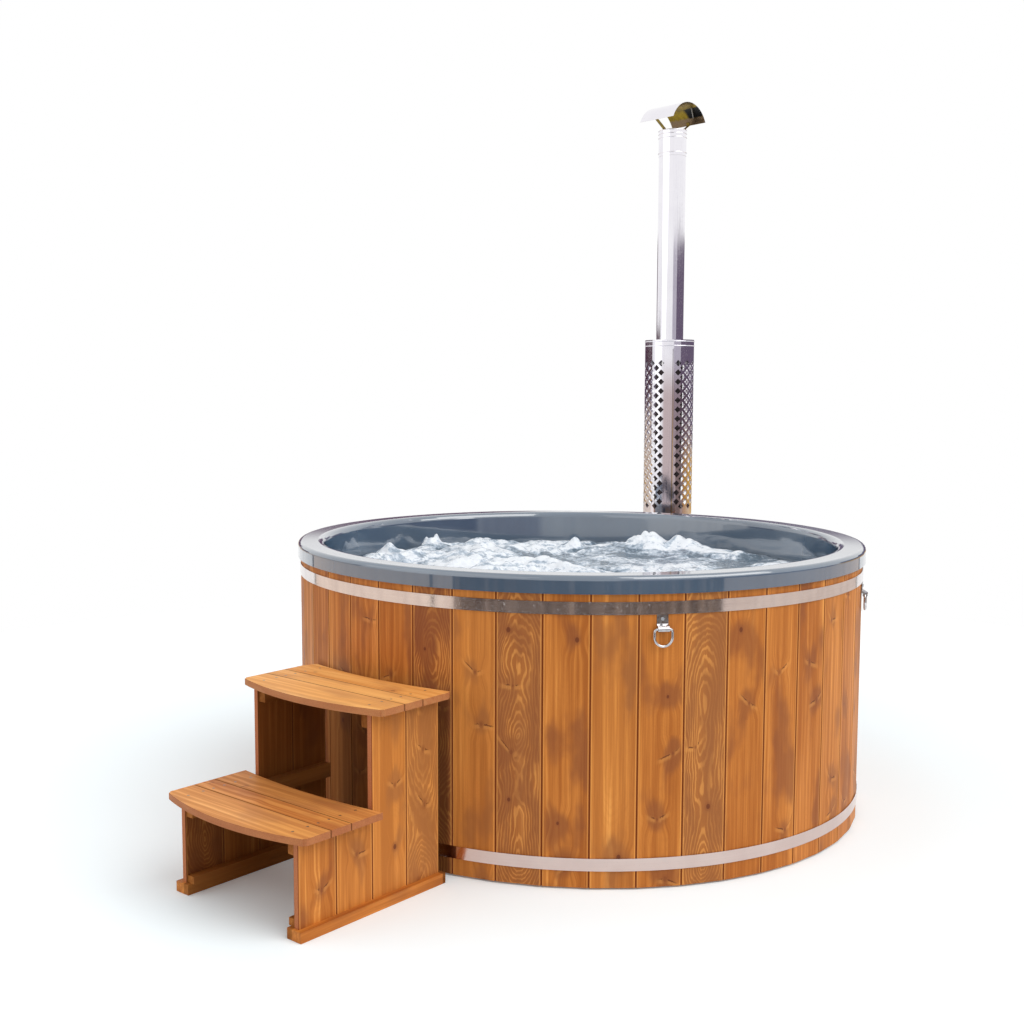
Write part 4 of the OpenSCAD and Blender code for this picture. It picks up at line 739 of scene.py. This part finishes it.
dress(GREY_PLASTIC, "drain_pipe", "pipe_nuts", "air_ring", "blower_housing", "cable_gland", "air_button")
dress(RED_PLASTIC, "drain_lever")
dress(RUBBER, "rubber_sleeves", "air_hose")
dress(BRASS, "drain_valve_body", "drain_hose_tail", "stove_drain_plug")
dress(STOVE_STEEL, "stove_jacket", "stove_legs", "stove_front", "door_keeper", "ash_drawer",
      "flue_collar")
dress(CAST_IRON, "stove_door", "fire_grate", "damper")
dress(ROPE, "door_gasket")
dress(STOVE_GLASS, "door_glass")


# New pieces

def hand_over(piece, body="root", stands_for=()):
    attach(piece, body)
    if stands_for:
        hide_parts(*stands_for)


def new_piece(name, mesh, finish_used):
    mesh.materials.clear()
    mesh.materials.append(finish_used)
    piece = bpy.data.objects.new(name, mesh)
    bpy.context.scene.collection.objects.link(piece)
    return piece


def mesh_of(name, points, faces):
    mesh = bpy.data.meshes.new(name)
    mesh.from_pydata(points, [], faces)
    mesh.update()
    return mesh


class Repeat:
    """A geometry tree with one geometry and named sizes as inputs."""

    def __init__(self, name, sizes):
        self.tree = bpy.data.node_groups.new(name, "GeometryNodeTree")
        self.tree.is_modifier = True
        face = self.tree.interface
        face.new_socket(name="Geometry", in_out="INPUT", socket_type="NodeSocketGeometry")
        self.keys = {label: face.new_socket(name=label, in_out="INPUT", socket_type="NodeSocket" + kind)
                     for label, kind in sizes.items()}
        face.new_socket(name="Geometry", in_out="OUTPUT", socket_type="NodeSocketGeometry")
        self.given = self.tree.nodes.new("NodeGroupInput").outputs
        self.out = self.tree.nodes.new("NodeGroupOutput").inputs

    def put(self, kind, values=None, **settings):
        made = self.tree.nodes.new(kind)
        for key, value in settings.items():
            setattr(made, key, value)
        for key, value in (values or {}).items():
            if isinstance(value, bpy.types.NodeSocket):
                self.tree.links.new(value, made.inputs[key])
            else:
                made.inputs[key].default_value = value
        return made.outputs

    def math(self, operation, *values):
        return self.put("ShaderNodeMath", dict(enumerate(values)), operation=operation)[0]

    def close(self, points, instance, rotation=None):
        values = {"Points": points, "Instance": instance}
        if rotation is not None:
            values["Rotation"] = rotation
        repeated = self.put("GeometryNodeInstanceOnPoints", values)["Instances"]
        real = self.put("GeometryNodeRealizeInstances", {"Geometry": repeated})["Geometry"]
        dressed = self.put("GeometryNodeSetMaterial", {"Geometry": real, "Material": self.given["Finish"]})
        self.tree.links.new(dressed["Geometry"], self.out["Geometry"])

    def run(self, mesh, **values):
        """The mesh after the tree has run on it, as a mesh of its own."""
        holder = bpy.data.objects.new("holder", mesh)
        bpy.context.scene.collection.objects.link(holder)
        modifier = holder.modifiers.new("repeat", "NODES")
        modifier.node_group = self.tree
        for label, value in values.items():
            modifier[self.keys[label.replace("_", " ")].identifier] = value
        bpy.context.view_layer.update()
        done = bpy.data.meshes.new_from_object(holder.evaluated_get(bpy.context.evaluated_depsgraph_get()))
        holder.modifiers.clear()
        bpy.data.objects.remove(holder)
        return done


def make_tile_repeat():
    """Tiles in upright columns, every other column half a tile lower."""
    tree = Repeat("tile_columns", {"Columns": "Int", "Rows": "Int", "Column Width": "Float",
                                   "Row Height": "Float", "Finish": "Material"})
    given = tree.given
    wide = tree.math("MULTIPLY", tree.math("SUBTRACT", given["Columns"], 1.0), given["Column Width"])
    high = tree.math("MULTIPLY", tree.math("SUBTRACT", given["Rows"], 1.0), given["Row Height"])
    grid = tree.put("GeometryNodeMeshGrid", {"Size X": wide, "Size Y": high, "Vertices X": given["Columns"],
                                             "Vertices Y": given["Rows"]})["Mesh"]
    place = tree.put("GeometryNodeInputPosition")[0]
    x = tree.put("ShaderNodeSeparateXYZ", {0: place})[0]
    column = tree.math("ROUND", tree.math("DIVIDE", tree.math("ADD", x, tree.math("MULTIPLY", wide, 0.5)),
                                          given["Column Width"]))
    lower = tree.math("MULTIPLY", tree.math("MODULO", column, 2.0),
                      tree.math("MULTIPLY", given["Row Height"], -0.5))
    move = tree.put("ShaderNodeCombineXYZ", {1: lower})[0]
    points = tree.put("GeometryNodeSetPosition", {"Geometry": grid, "Offset": move})["Geometry"]
    tree.close(points, given["Geometry"])
    return tree


def make_screw_repeat():
    """One screw on every point, each turned as the driver left it."""
    tree = Repeat("screws_on_points", {"Screw": "Object", "Seed": "Int", "Finish": "Material"})
    given = tree.given
    screw = tree.put("GeometryNodeObjectInfo", {"Object": given["Screw"]})["Geometry"]
    turn = tree.put("FunctionNodeRandomValue", {3: math.tau, "Seed": given["Seed"]}, data_type="FLOAT")
    turned = tree.put("ShaderNodeCombineXYZ", {2: turn[1]})[0]
    tree.close(given["Geometry"], screw, turned)
    return tree


def lathe(outline, middle, turns=96):
    """A closed ring with the outline (radius, height) around an upright axis through middle."""
    points, faces = [], []
    for i in range(turns):
        turn = math.tau * i / turns
        points += [(middle[0] + r * math.sin(turn), middle[1] - r * math.cos(turn), z) for r, z in outline]
    count = len(outline)
    for i in range(turns):
        low, high = i * count, (i + 1) % turns * count
        for j in range(count):
            k = (j + 1) % count
            faces.append((low + j, high + j, high + k, low + k))
    return points, faces


# The heat guard, whose holes stand in columns, every other column half a hole lower
GUARD_R = 0.109
GUARD_T = 0.001
GUARD_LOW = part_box("guard_shell")[0].z
GUARD_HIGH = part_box("guard_shell")[1].z
BEADS_LOW = 1.652
BEAD_LEVELS = (1.665, 1.685)
BEAD_R = 0.002
HOLE_COLUMNS = 27
HOLE_ROWS = 16
HOLE_PITCH = 0.0414
HOLE_HALF = 0.0145
HOLE_TOP = 1.587
HOLE_BOTTOM = HOLE_TOP - HOLE_PITCH * (HOLE_ROWS - 1)
COLUMN_WIDTH = math.radians(12.3) * GUARD_R
STRIP_MIDDLE = -3.0


def guard_tile():
    """One lozenge of the guard, flat: eight faces around a square hole that stands on its corner."""
    corners = ((1, 0), (0.5, 0.5), (0, 1), (-0.5, 0.5), (-1, 0), (-0.5, -0.5), (0, -1), (0.5, -0.5))
    outer = [(x * COLUMN_WIDTH, y * HOLE_PITCH / 2, 0) for x, y in corners]
    inner = [(x * HOLE_HALF, y * HOLE_HALF, 0) for x, y in corners]
    faces = [(i, (i + 1) % 8, 8 + (i + 1) % 8, 8 + i) for i in range(8)]
    return mesh_of("guard_tile", outer + inner, faces)


def guard_field():
    """The perforated part of the guard, laid flat, with its heights along y."""
    field = make_tile_repeat().run(guard_tile(), Columns=HOLE_COLUMNS, Rows=HOLE_ROWS,
                                   Column_Width=COLUMN_WIDTH, Row_Height=HOLE_PITCH, Finish=GUARD_STEEL)
    sheet = bmesh.new()
    sheet.from_mesh(field)
    bmesh.ops.translate(sheet, verts=sheet.verts, vec=(0, (HOLE_TOP + HOLE_BOTTOM) / 2, 0))
    return sheet


def add_panel(sheet, *ring):
    sheet.faces.new([sheet.verts.new((x, z, 0)) for x, z in ring])


def fill_around_field(sheet):
    """Plain sheet above and below the holes, and between them at the two sides of the field."""
    half = HOLE_PITCH / 2
    quarter = HOLE_PITCH / 4
    for i in range(0, HOLE_COLUMNS, 2):
        x = (i - (HOLE_COLUMNS - 1) / 2) * COLUMN_WIDTH
        for way in (-1, 1):
            past = x + way * COLUMN_WIDTH
            between = x + way * COLUMN_WIDTH / 2
            add_panel(sheet, (x, HOLE_TOP + half), (between, HOLE_TOP + quarter), (past, HOLE_TOP),
                      (past, BEADS_LOW), (between, BEADS_LOW), (x, BEADS_LOW))
            if 0 <= i + way < HOLE_COLUMNS:
                add_panel(sheet, (x, HOLE_BOTTOM - half), (between, HOLE_BOTTOM - half - quarter),
                          (past, HOLE_BOTTOM - HOLE_PITCH), (past, GUARD_LOW), (between, GUARD_LOW),
                          (x, GUARD_LOW))
                continue
            add_panel(sheet, (x, HOLE_BOTTOM - half), (between, HOLE_BOTTOM - quarter),
                      (past, HOLE_BOTTOM), (past, GUARD_LOW), (between, GUARD_LOW), (x, GUARD_LOW))
            for row in range(HOLE_ROWS - 1):
                z = HOLE_TOP - HOLE_PITCH * row
                add_panel(sheet, (x, z - half), (between, z - quarter), (past, z), (past, z - HOLE_PITCH),
                          (between, z - half - quarter))


def add_seam_strip(sheet):
    """The strip without holes, where the sheet's two ends lap."""
    field_edge = (HOLE_COLUMNS + 1) * COLUMN_WIDTH / 2
    third = (math.tau * GUARD_R - 2 * field_edge) / 3
    rows = [HOLE_TOP - HOLE_PITCH * row for row in reversed(range(HOLE_ROWS))]
    levels = [GUARD_LOW, *rows, BEADS_LOW]
    for i in range(3):
        left = field_edge + third * i
        right = left + third
        for low, high in zip(levels, levels[1:]):
            add_panel(sheet, (left, low), (right, low), (right, high), (left, high))


def roll_up(sheet):
    """Rolls the flat sheet to a pipe around the flue, with its faces turned out."""
    for point in sheet.verts:
        turn = math.radians(STRIP_MIDDLE + 180) + point.co.x / GUARD_R
        point.co = (FLUE_X + GUARD_R * math.sin(turn), FLUE_Y - GUARD_R * math.cos(turn), point.co.y)
    bmesh.ops.remove_doubles(sheet, verts=sheet.verts, dist=0.00004)
    sheet.normal_update()
    axis = Vector((FLUE_X, FLUE_Y, 0))
    turned_in = [face for face in sheet.faces
                 if (face.calc_center_median() - axis).to_2d().dot(face.normal.to_2d()) < 0]
    bmesh.ops.reverse_faces(sheet, faces=turned_in)


def give_wall(sheet):
    """Copies the sheet inwards and closes its edges, those of the holes among them."""
    outer_faces = list(sheet.faces)
    copy = bmesh.ops.duplicate(sheet, geom=list(sheet.verts) + list(sheet.edges) + outer_faces)
    pairs = {old: new for old, new in copy["vert_map"].items() if isinstance(old, bmesh.types.BMVert)}
    rims = [edge for face in outer_faces for edge in face.edges if len(edge.link_faces) == 1]
    inner_faces = [item for item in copy["geom"] if isinstance(item, bmesh.types.BMFace)]
    axis = Vector((FLUE_X, FLUE_Y, 0))
    for point in {pairs[point] for face in outer_faces for point in face.verts}:
        out = (point.co - axis).to_2d().normalized()
        point.co -= Vector((out.x, out.y, 0)) * GUARD_T
    bmesh.ops.reverse_faces(sheet, faces=inner_faces)
    for edge in rims:
        loop = edge.link_loops[0]
        first, second = loop.vert, loop.link_loop_next.vert
        sheet.faces.new((second, first, pairs[first], pairs[second]))


def guard_beads():
    """The guard's plain top with its two beads, as a closed ring."""
    inside = GUARD_R - GUARD_T
    outline = [(inside, GUARD_HIGH), (inside, BEADS_LOW), (GUARD_R, BEADS_LOW)]
    for level in BEAD_LEVELS:
        outline += [(GUARD_R + BEAD_R * math.cos(turn), level + BEAD_R * math.sin(turn))
                    for turn in np.linspace(-math.pi / 2, math.pi / 2, 7)]
    outline.append((GUARD_R, GUARD_HIGH))
    points, faces = lathe(outline, (FLUE_X, FLUE_Y))
    return mesh_of("guard_beads", points, faces)


def make_guard():
    """The heat guard: a perforated sheet rolled to a pipe, its plain strip, margins and two beads."""
    sheet = guard_field()
    fill_around_field(sheet)
    add_seam_strip(sheet)
    roll_up(sheet)
    give_wall(sheet)
    wall = bpy.data.meshes.new("guard_wall")
    sheet.to_mesh(wall)
    sheet.free()
    mesh = joined("heat_guard", wall, guard_beads())
    mesh.shade_smooth()
    mesh.set_sharp_from_angle(angle=math.radians(40))
    hand_over(new_piece("heat_guard", mesh, GUARD_STEEL), stands_for=("guard_shell",))


def joined(name, *meshes, recalculate=False):
    body = bmesh.new()
    for mesh in meshes:
        body.from_mesh(mesh)
    if recalculate:
        bmesh.ops.recalc_face_normals(body, faces=body.faces)
    made = bpy.data.meshes.new(name)
    body.to_mesh(made)
    body.free()
    return made


# A countersunk head: radius, height and depth of the driver's lobes, from the socket outwards
SCREW_OUTLINE = ((0.0002, -0.0012, 0.0), (0.0015, -0.0012, 0.18), (0.0016, 0.0002, 0.18),
                 (0.0036, 0.00035, 0.0), (0.0041, 0.0001, 0.0), (0.0018, -0.0025, 0.0),
                 (0.0002, -0.0026, 0.0))
SCREW_SIDES = 24
SCREW_SIDE_PLACE = 0.229
SCREW_ROWS = ((LOWER_TREAD_TOP, (1.350, 1.410, 1.452, 1.492, 1.530, 1.584)),
              (UPPER_TREAD_TOP, (1.060, 1.122, 1.164, 1.204, 1.242, 1.292)))


def screw_head():
    points = []
    for radius, level, lobes in SCREW_OUTLINE:
        for i in range(SCREW_SIDES):
            turn = math.tau * i / SCREW_SIDES
            reach = radius * (1 + lobes * math.cos(6 * turn))
            points.append((reach * math.cos(turn), reach * math.sin(turn), level))
    last = (len(SCREW_OUTLINE) - 1) * SCREW_SIDES
    faces = [tuple(reversed(range(SCREW_SIDES))), tuple(range(last, last + SCREW_SIDES))]
    for low in range(0, last, SCREW_SIDES):
        high = low + SCREW_SIDES
        for i in range(SCREW_SIDES):
            j = (i + 1) % SCREW_SIDES
            faces.append((low + i, high + i, high + j, low + j))
    return joined("screw_head", mesh_of("screw_outline", points, faces), recalculate=True)


def make_tread_screws():
    """Countersunk screws that hold the tread boards to the battens, two in each board at each side."""
    model = bpy.data.objects.new("screw_head", screw_head())
    bpy.context.scene.collection.objects.link(model)
    sine, cosine = math.sin(STEPS_TURN), math.cos(STEPS_TURN)
    places = [(side * cosine - away * sine, -side * sine - away * cosine, top)
              for top, rows in SCREW_ROWS for away in rows
              for side in (-SCREW_SIDE_PLACE, SCREW_SIDE_PLACE)]
    mesh = make_screw_repeat().run(mesh_of("screw_places", places, []), Screw=model, Seed=7,
                                   Finish=SCREW_STEEL)
    bpy.data.objects.remove(model)
    mesh.set_sharp_from_angle(angle=math.radians(40))
    hand_over(new_piece("tread_screws", mesh, SCREW_STEEL))


def draw_water(plan):
    """Whipped water: white froth on the crests, slate blue in the hollows, glassy in between."""
    place = plan.place()
    froth = plan.put("Attribute", attribute_name="froth").outputs["Fac"]
    bubbles = plan.put("TexVoronoi", {"Vector": place, "Scale": 150.0}).outputs["Distance"]
    grain = plan.noise(place, scale=52.0, detail=5.0, rough=0.65)
    swirl = plan.noise(place, scale=8.0, detail=4.0, rough=0.55, twist=1.4)
    white = plan.plus(plan.times(froth, 0.9), plan.fade(grain, 0.32, 0.68, -0.26, 0.26),
                      plan.fade(swirl, 0.38, 0.62, -0.34, 0.28))
    colour = plan.mix(plan.fade(white, 0.08, 0.60), (0.070, 0.118, 0.170, 1), (0.40, 0.485, 0.585, 1))
    colour = plan.mix(plan.fade(white, 0.45, 1.0), colour, (0.83, 0.87, 0.92, 1))
    foam = plan.times(plan.fade(bubbles, 0.35, 0.0, 0.0, 0.35), plan.fade(white, 0.1, 0.6))
    colour = plan.mix(foam, colour, (0.90, 0.93, 0.97, 1))
    height = plan.plus(grain, plan.times(bubbles, 0.25))
    return {"Base_Color": colour, "Roughness": plan.fade(white, 0.0, 1.0, 0.05, 0.32),
            "Normal": plan.bump(height, 0.007, 0.75)}


WATER = finish("whipped_water", draw_water, Specular_IOR_Level=0.5, Coat_Weight=0.25, Coat_Roughness=0.05)

# The water's edge at the wall, the calm stretch beside it and the distance between points
WATER_EDGE = 0.902
CALM_WIDTH = 0.10
WATER_POINTS = 0.0068

# The water's sides under its surface, down to the bench and the footwell: radius and height
WATER_SIDES = ((0.896, 0.760), (0.873, 0.510), (0.840, 0.468), (0.560, 0.468), (0.520, 0.440),
               (0.484, 0.110), (0.470, 0.104))

# Boils that stand out of the water: across, back, width and height in metres
BOILS = ((0.30, 0.64, 0.085, 0.062), (0.44, 0.63, 0.050, 0.052), (0.00, 0.68, 0.034, 0.042),
         (-0.60, 0.55, 0.050, 0.040), (-0.62, 0.57, 0.013, 0.026), (-0.575, 0.57, 0.012, 0.026),
         (-0.40, 0.50, 0.085, 0.026), (-0.62, 0.24, 0.060, 0.036), (-0.73, 0.30, 0.035, 0.030),
         (0.64, 0.42, 0.050, 0.022), (0.10, 0.30, 0.120, 0.020))


def water_height(x, y, calm):
    """Height of the whipped water over its level, and how much froth lies on it."""
    bend = noise.noise_vector(Vector((x * 4.0, y * 4.0, 7.7))) * 0.09
    u, v = x + bend.x, y + bend.y

    def mounds(scale, layer):
        near = noise.voronoi(Vector((u * scale, v * scale, layer)))[0][0]
        return max(0.0, 1.0 - (near * 1.2) ** 2)

    swell = noise.noise(Vector((x * 2.0, y * 2.0, 9.7)))
    force = min(1.0, max(0.35, 0.75 + 0.9 * swell))
    height = -0.014 + force * (0.036 * mounds(5.0, 1.5) + 0.024 * mounds(11.0, 4.5)
                               + 0.010 * mounds(24.0, 8.5)) + swell * 0.012
    for across, back, width, rise in BOILS:
        near = math.exp(-((x - across) ** 2 + (y - back) ** 2) / width ** 2)
        height += near * rise * (0.45 + 0.5 * mounds(15.0, 2.5) + 0.3 * mounds(34.0, 3.5))
    height *= 0.10 + 0.90 * calm
    froth = 0.42 + height * 18 + 0.55 * noise.noise(Vector((x * 6.0, y * 6.0, 2.2)))
    return height, min(1.0, max(0.0, froth)) * (0.30 + 0.70 * calm)


def water_rings():
    """Points of the whipped surface in rings, how much froth lies on each, and where rings start."""
    steps = int(WATER_EDGE / WATER_POINTS)
    rings = [(0.0, 1)]
    for k in range(1, steps + 1):
        radius = WATER_EDGE * k / steps
        rings.append((radius, max(6, int(math.tau * radius / WATER_POINTS))))
    points, froth, rows = [], [], []
    for radius, count in rings:
        rows.append((len(points), count))
        calm = min(1.0, max(0.0, (WATER_EDGE - radius) / CALM_WIDTH)) ** 0.7
        for i in range(count):
            turn = math.tau * i / count
            x, y = radius * math.cos(turn), radius * math.sin(turn)
            height, white = water_height(x, y, calm)
            shove = noise.noise_vector(Vector((x * 14, y * 14, 1.3))) * 0.006 * calm
            points.append((x + shove.x, y + shove.y, WATER_LEVEL + height))
            froth.append(white)
    return points, froth, rows


def bridge(inner_row, outer_row):
    """Triangles between two rings that may differ in their number of points."""
    (low, inner), (high, outer) = inner_row, outer_row
    faces = []
    i = j = 0
    while i < inner or j < outer:
        if j < outer and (inner == 1 or (j + 1) * inner <= (i + 1) * outer or i >= inner):
            faces.append((low + i % inner, high + j, high + (j + 1) % outer))
            j += 1
        elif inner > 1 and i < inner:
            faces.append((low + i, high + j % outer, low + (i + 1) % inner))
            i += 1
        else:
            break
    return faces


def make_water():
    """The bath's water, thrown up by the air nozzles, down the walls to the bench and the floor."""
    points, froth, rows = water_rings()
    faces = [face for pair in zip(rows, rows[1:]) for face in bridge(*pair)]
    last, count = rows[-1]
    for radius, level in WATER_SIDES:
        first = len(points)
        for i in range(count):
            turn = math.tau * i / count
            points.append((radius * math.cos(turn), radius * math.sin(turn), level))
            froth.append(0.2)
            j = (i + 1) % count
            faces.append((last + i, first + i, first + j, last + j))
        last = first
    faces.append(tuple(last + i for i in reversed(range(count))))
    mesh = mesh_of("bath_water", points, faces)
    mesh.shade_smooth()
    mark = mesh.attributes.new("froth", "FLOAT", "POINT")
    mark.data.foreach_set("value", np.array(froth, np.float32))
    hand_over(new_piece("bath_water", mesh, WATER))


make_guard()
make_tread_screws()
make_water()


# Stage, light and camera

FLOOR_RADIUS = 4.4
FLOOR_SIDES = 160
FLOOR_GAP = 0.0006


def make_floor():
    ring = [(FLOOR_RADIUS * math.cos(math.tau * i / FLOOR_SIDES),
             FLOOR_RADIUS * math.sin(math.tau * i / FLOOR_SIDES), -FLOOR_GAP) for i in range(FLOOR_SIDES)]
    mesh = mesh_of("floor", ring, [tuple(range(FLOOR_SIDES))])
    made = bpy.data.materials.new("floor_white")
    made.use_nodes = True
    made.node_tree.nodes.clear()
    plan = Plan(made.node_tree)
    light = plan.put("LightPath").outputs
    mirrored = plan.most(light["Is Glossy Ray"], light["Is Transmission Ray"])
    seen = plan.most(light["Is Camera Ray"], mirrored)
    grain = plan.noise(plan.place(), scale=3.0, detail=2.0)
    colour = plan.mix(grain, (0.85, 0.925, 0.955, 1), (0.86, 0.935, 0.965, 1))
    paint = plan.put("BsdfDiffuse", {"Color": colour})
    glow = plan.put("Emission", {"Color": (1.0, 0.93, 0.91, 1), "Strength": plan.times(seen, 0.10)})
    both = plan.put("AddShader", {0: paint.outputs[0], 1: glow.outputs[0]})
    plan.put("OutputMaterial", {"Surface": both.outputs[0]})
    mesh.materials.append(made)
    floor = bpy.data.objects.new("floor", mesh)
    bpy.context.scene.collection.objects.link(floor)


# What polished surfaces see of the studio: direction from the front towards +X in degrees,
# height of the line of sight, sharpness of the edges in degrees, colour
STUDIO = (
    ((50, 178), (-0.046, 0.112), 2.0, (0.150, 0.115, 0.175)),
    ((17, 50), (-0.046, 0.112), 3.0, (0.50, 0.47, 0.54)),
    ((30, 76), (-0.098, -0.046), 4.0, (0.36, 0.31, 0.29)),
    ((72, 160), (-0.098, -0.048), 4.0, (0.66, 0.37, 0.06)),
    ((-178, -148), (-0.018, 0.112), 2.0, (0.12, 0.06, 0.11)),
    ((-150, -92), (-0.018, 0.045), 2.5, (0.07, 0.025, 0.045)),
    ((-170, -90), (-0.098, -0.018), 4.0, (0.66, 0.54, 0.44)),
    ((-47.5, 57.5), (-0.26, -0.100), 0.5, (0.140, 0.100, 0.082)),
    ((57.5, 144), (-0.26, -0.100), 0.5, (0.74, 0.635, 0.575)),
    ((-130.7, -47.5), (-0.26, -0.100), 0.5, (0.90, 0.755, 0.655)),
    ((-131.5, -130.0), (-0.26, -0.100), 0.2, (0.10, 0.09, 0.09)),
    ((-57.3, -55.9), (-0.26, -0.100), 0.2, (0.12, 0.10, 0.10)),
    ((143.2, 144.8), (-0.26, -0.100), 0.2, (0.14, 0.12, 0.12)),
)


def make_world():
    """White all round; polished surfaces see the studio's dark and coloured parts at the horizon."""
    world = bpy.data.worlds.new("studio")
    bpy.context.scene.world = world
    world.use_nodes = True
    world.node_tree.nodes.clear()
    plan = Plan(world.node_tree)
    light = plan.put("LightPath").outputs
    x, y, z = plan.split(plan.put("TexCoord").outputs["Generated"])
    turn = plan.times(plan.math("ARCTAN2", x, plan.times(y, -1.0)), 180 / math.pi)
    seen = (1, 1, 1, 1)
    for (left, right), (low, high), soft, colour in STUDIO:
        span = plan.times(plan.fade(turn, left - soft, left + soft),
                          plan.fade(turn, right + soft, right - soft))
        level = plan.times(plan.fade(z, low - 0.004, low + 0.004), plan.fade(z, high + 0.006, high - 0.006))
        seen = plan.mix(plan.times(span, level), seen, (*colour, 1))
    streaks = plan.line_noise(plan.times(turn, 0.34), detail=3.0, rough=0.75)
    horizon = plan.times(plan.fade(z, 0.112, 0.10), plan.fade(z, -0.27, -0.26))
    dark_part = plan.times(plan.fade(plan.size(plan.minus(turn, 5.0)), 53.0, 52.0),
                           plan.fade(z, -0.095, -0.105))
    dim = plan.times(plan.fade(streaks, 0.49, 0.56), horizon, plan.fade(dark_part, 0.0, 1.0, 0.25, 0.9))
    bright = plan.times(plan.fade(streaks, 0.47, 0.41), horizon, dark_part)
    seen = plan.mix(plan.times(dim, 0.75), seen, plan.mix(1.0, seen, (0.36, 0.38, 0.48, 1), "MULTIPLY"))
    seen = plan.mix(plan.times(bright, 0.75), seen, (0.36, 0.28, 0.23, 1))
    plain = plan.most(light["Is Camera Ray"], light["Is Transmission Ray"])
    shown = plan.most(plain, light["Is Glossy Ray"])
    colour = plan.mix(plain, seen, (1, 1, 1, 1))
    sideways = plan.plus(plan.times(plan.size(x), 0.55), 0.82)
    soft = plan.put("Background", {"Color": (0.985, 0.99, 1.0, 1), "Strength": plan.times(sideways, 0.69)})
    white = plan.put("Background", {"Color": colour, "Strength": 1.0})
    both = plan.put("MixShader", {0: shown, 1: soft.outputs[0], 2: white.outputs[0]})
    plan.put("OutputWorld", {"Surface": both.outputs[0]})


def make_lamp(name, energy, spread, towards):
    """A soft distant lamp that stands in the direction towards."""
    lamp = bpy.data.lights.new(name, "SUN")
    lamp.energy = energy
    lamp.angle = math.radians(spread)
    lamp.color = (1.0, 0.985, 0.965)
    holder = bpy.data.objects.new(name, lamp)
    holder.rotation_euler = Vector(towards).to_track_quat("Z", "Y").to_euler()
    bpy.context.scene.collection.objects.link(holder)


# The camera fitted to the photograph: its place, lens and turns
EYE = (0.0, -4.67772, 1.472085)
FOCAL_LENGTH = 44.915
SIDE_SHIFT = 0.078125
TURN_LEFT = 0.112305
TURN_DOWN = 0.0954765
ROLL = -0.0028764


def make_camera():
    lens = bpy.data.cameras.new("front")
    lens.sensor_width = 36.0
    lens.lens = FOCAL_LENGTH
    lens.shift_x = SIDE_SHIFT
    camera = bpy.data.objects.new("front", lens)
    turn = (Matrix.Rotation(TURN_LEFT, 4, "Z") @ Matrix.Rotation(math.pi / 2 - TURN_DOWN, 4, "X")
            @ Matrix.Rotation(ROLL, 4, "Z"))
    camera.matrix_world = Matrix.Translation(EYE) @ turn
    bpy.context.scene.collection.objects.link(camera)
    bpy.context.scene.camera = camera


make_floor()
make_world()
make_lamp("key", 1.5, 50, (0.95, -0.45, 1.20))
make_lamp("fill", 0.4, 70, (-0.95, -0.60, 0.70))
make_camera()
bpy.context.scene.view_settings.view_transform = "Standard"
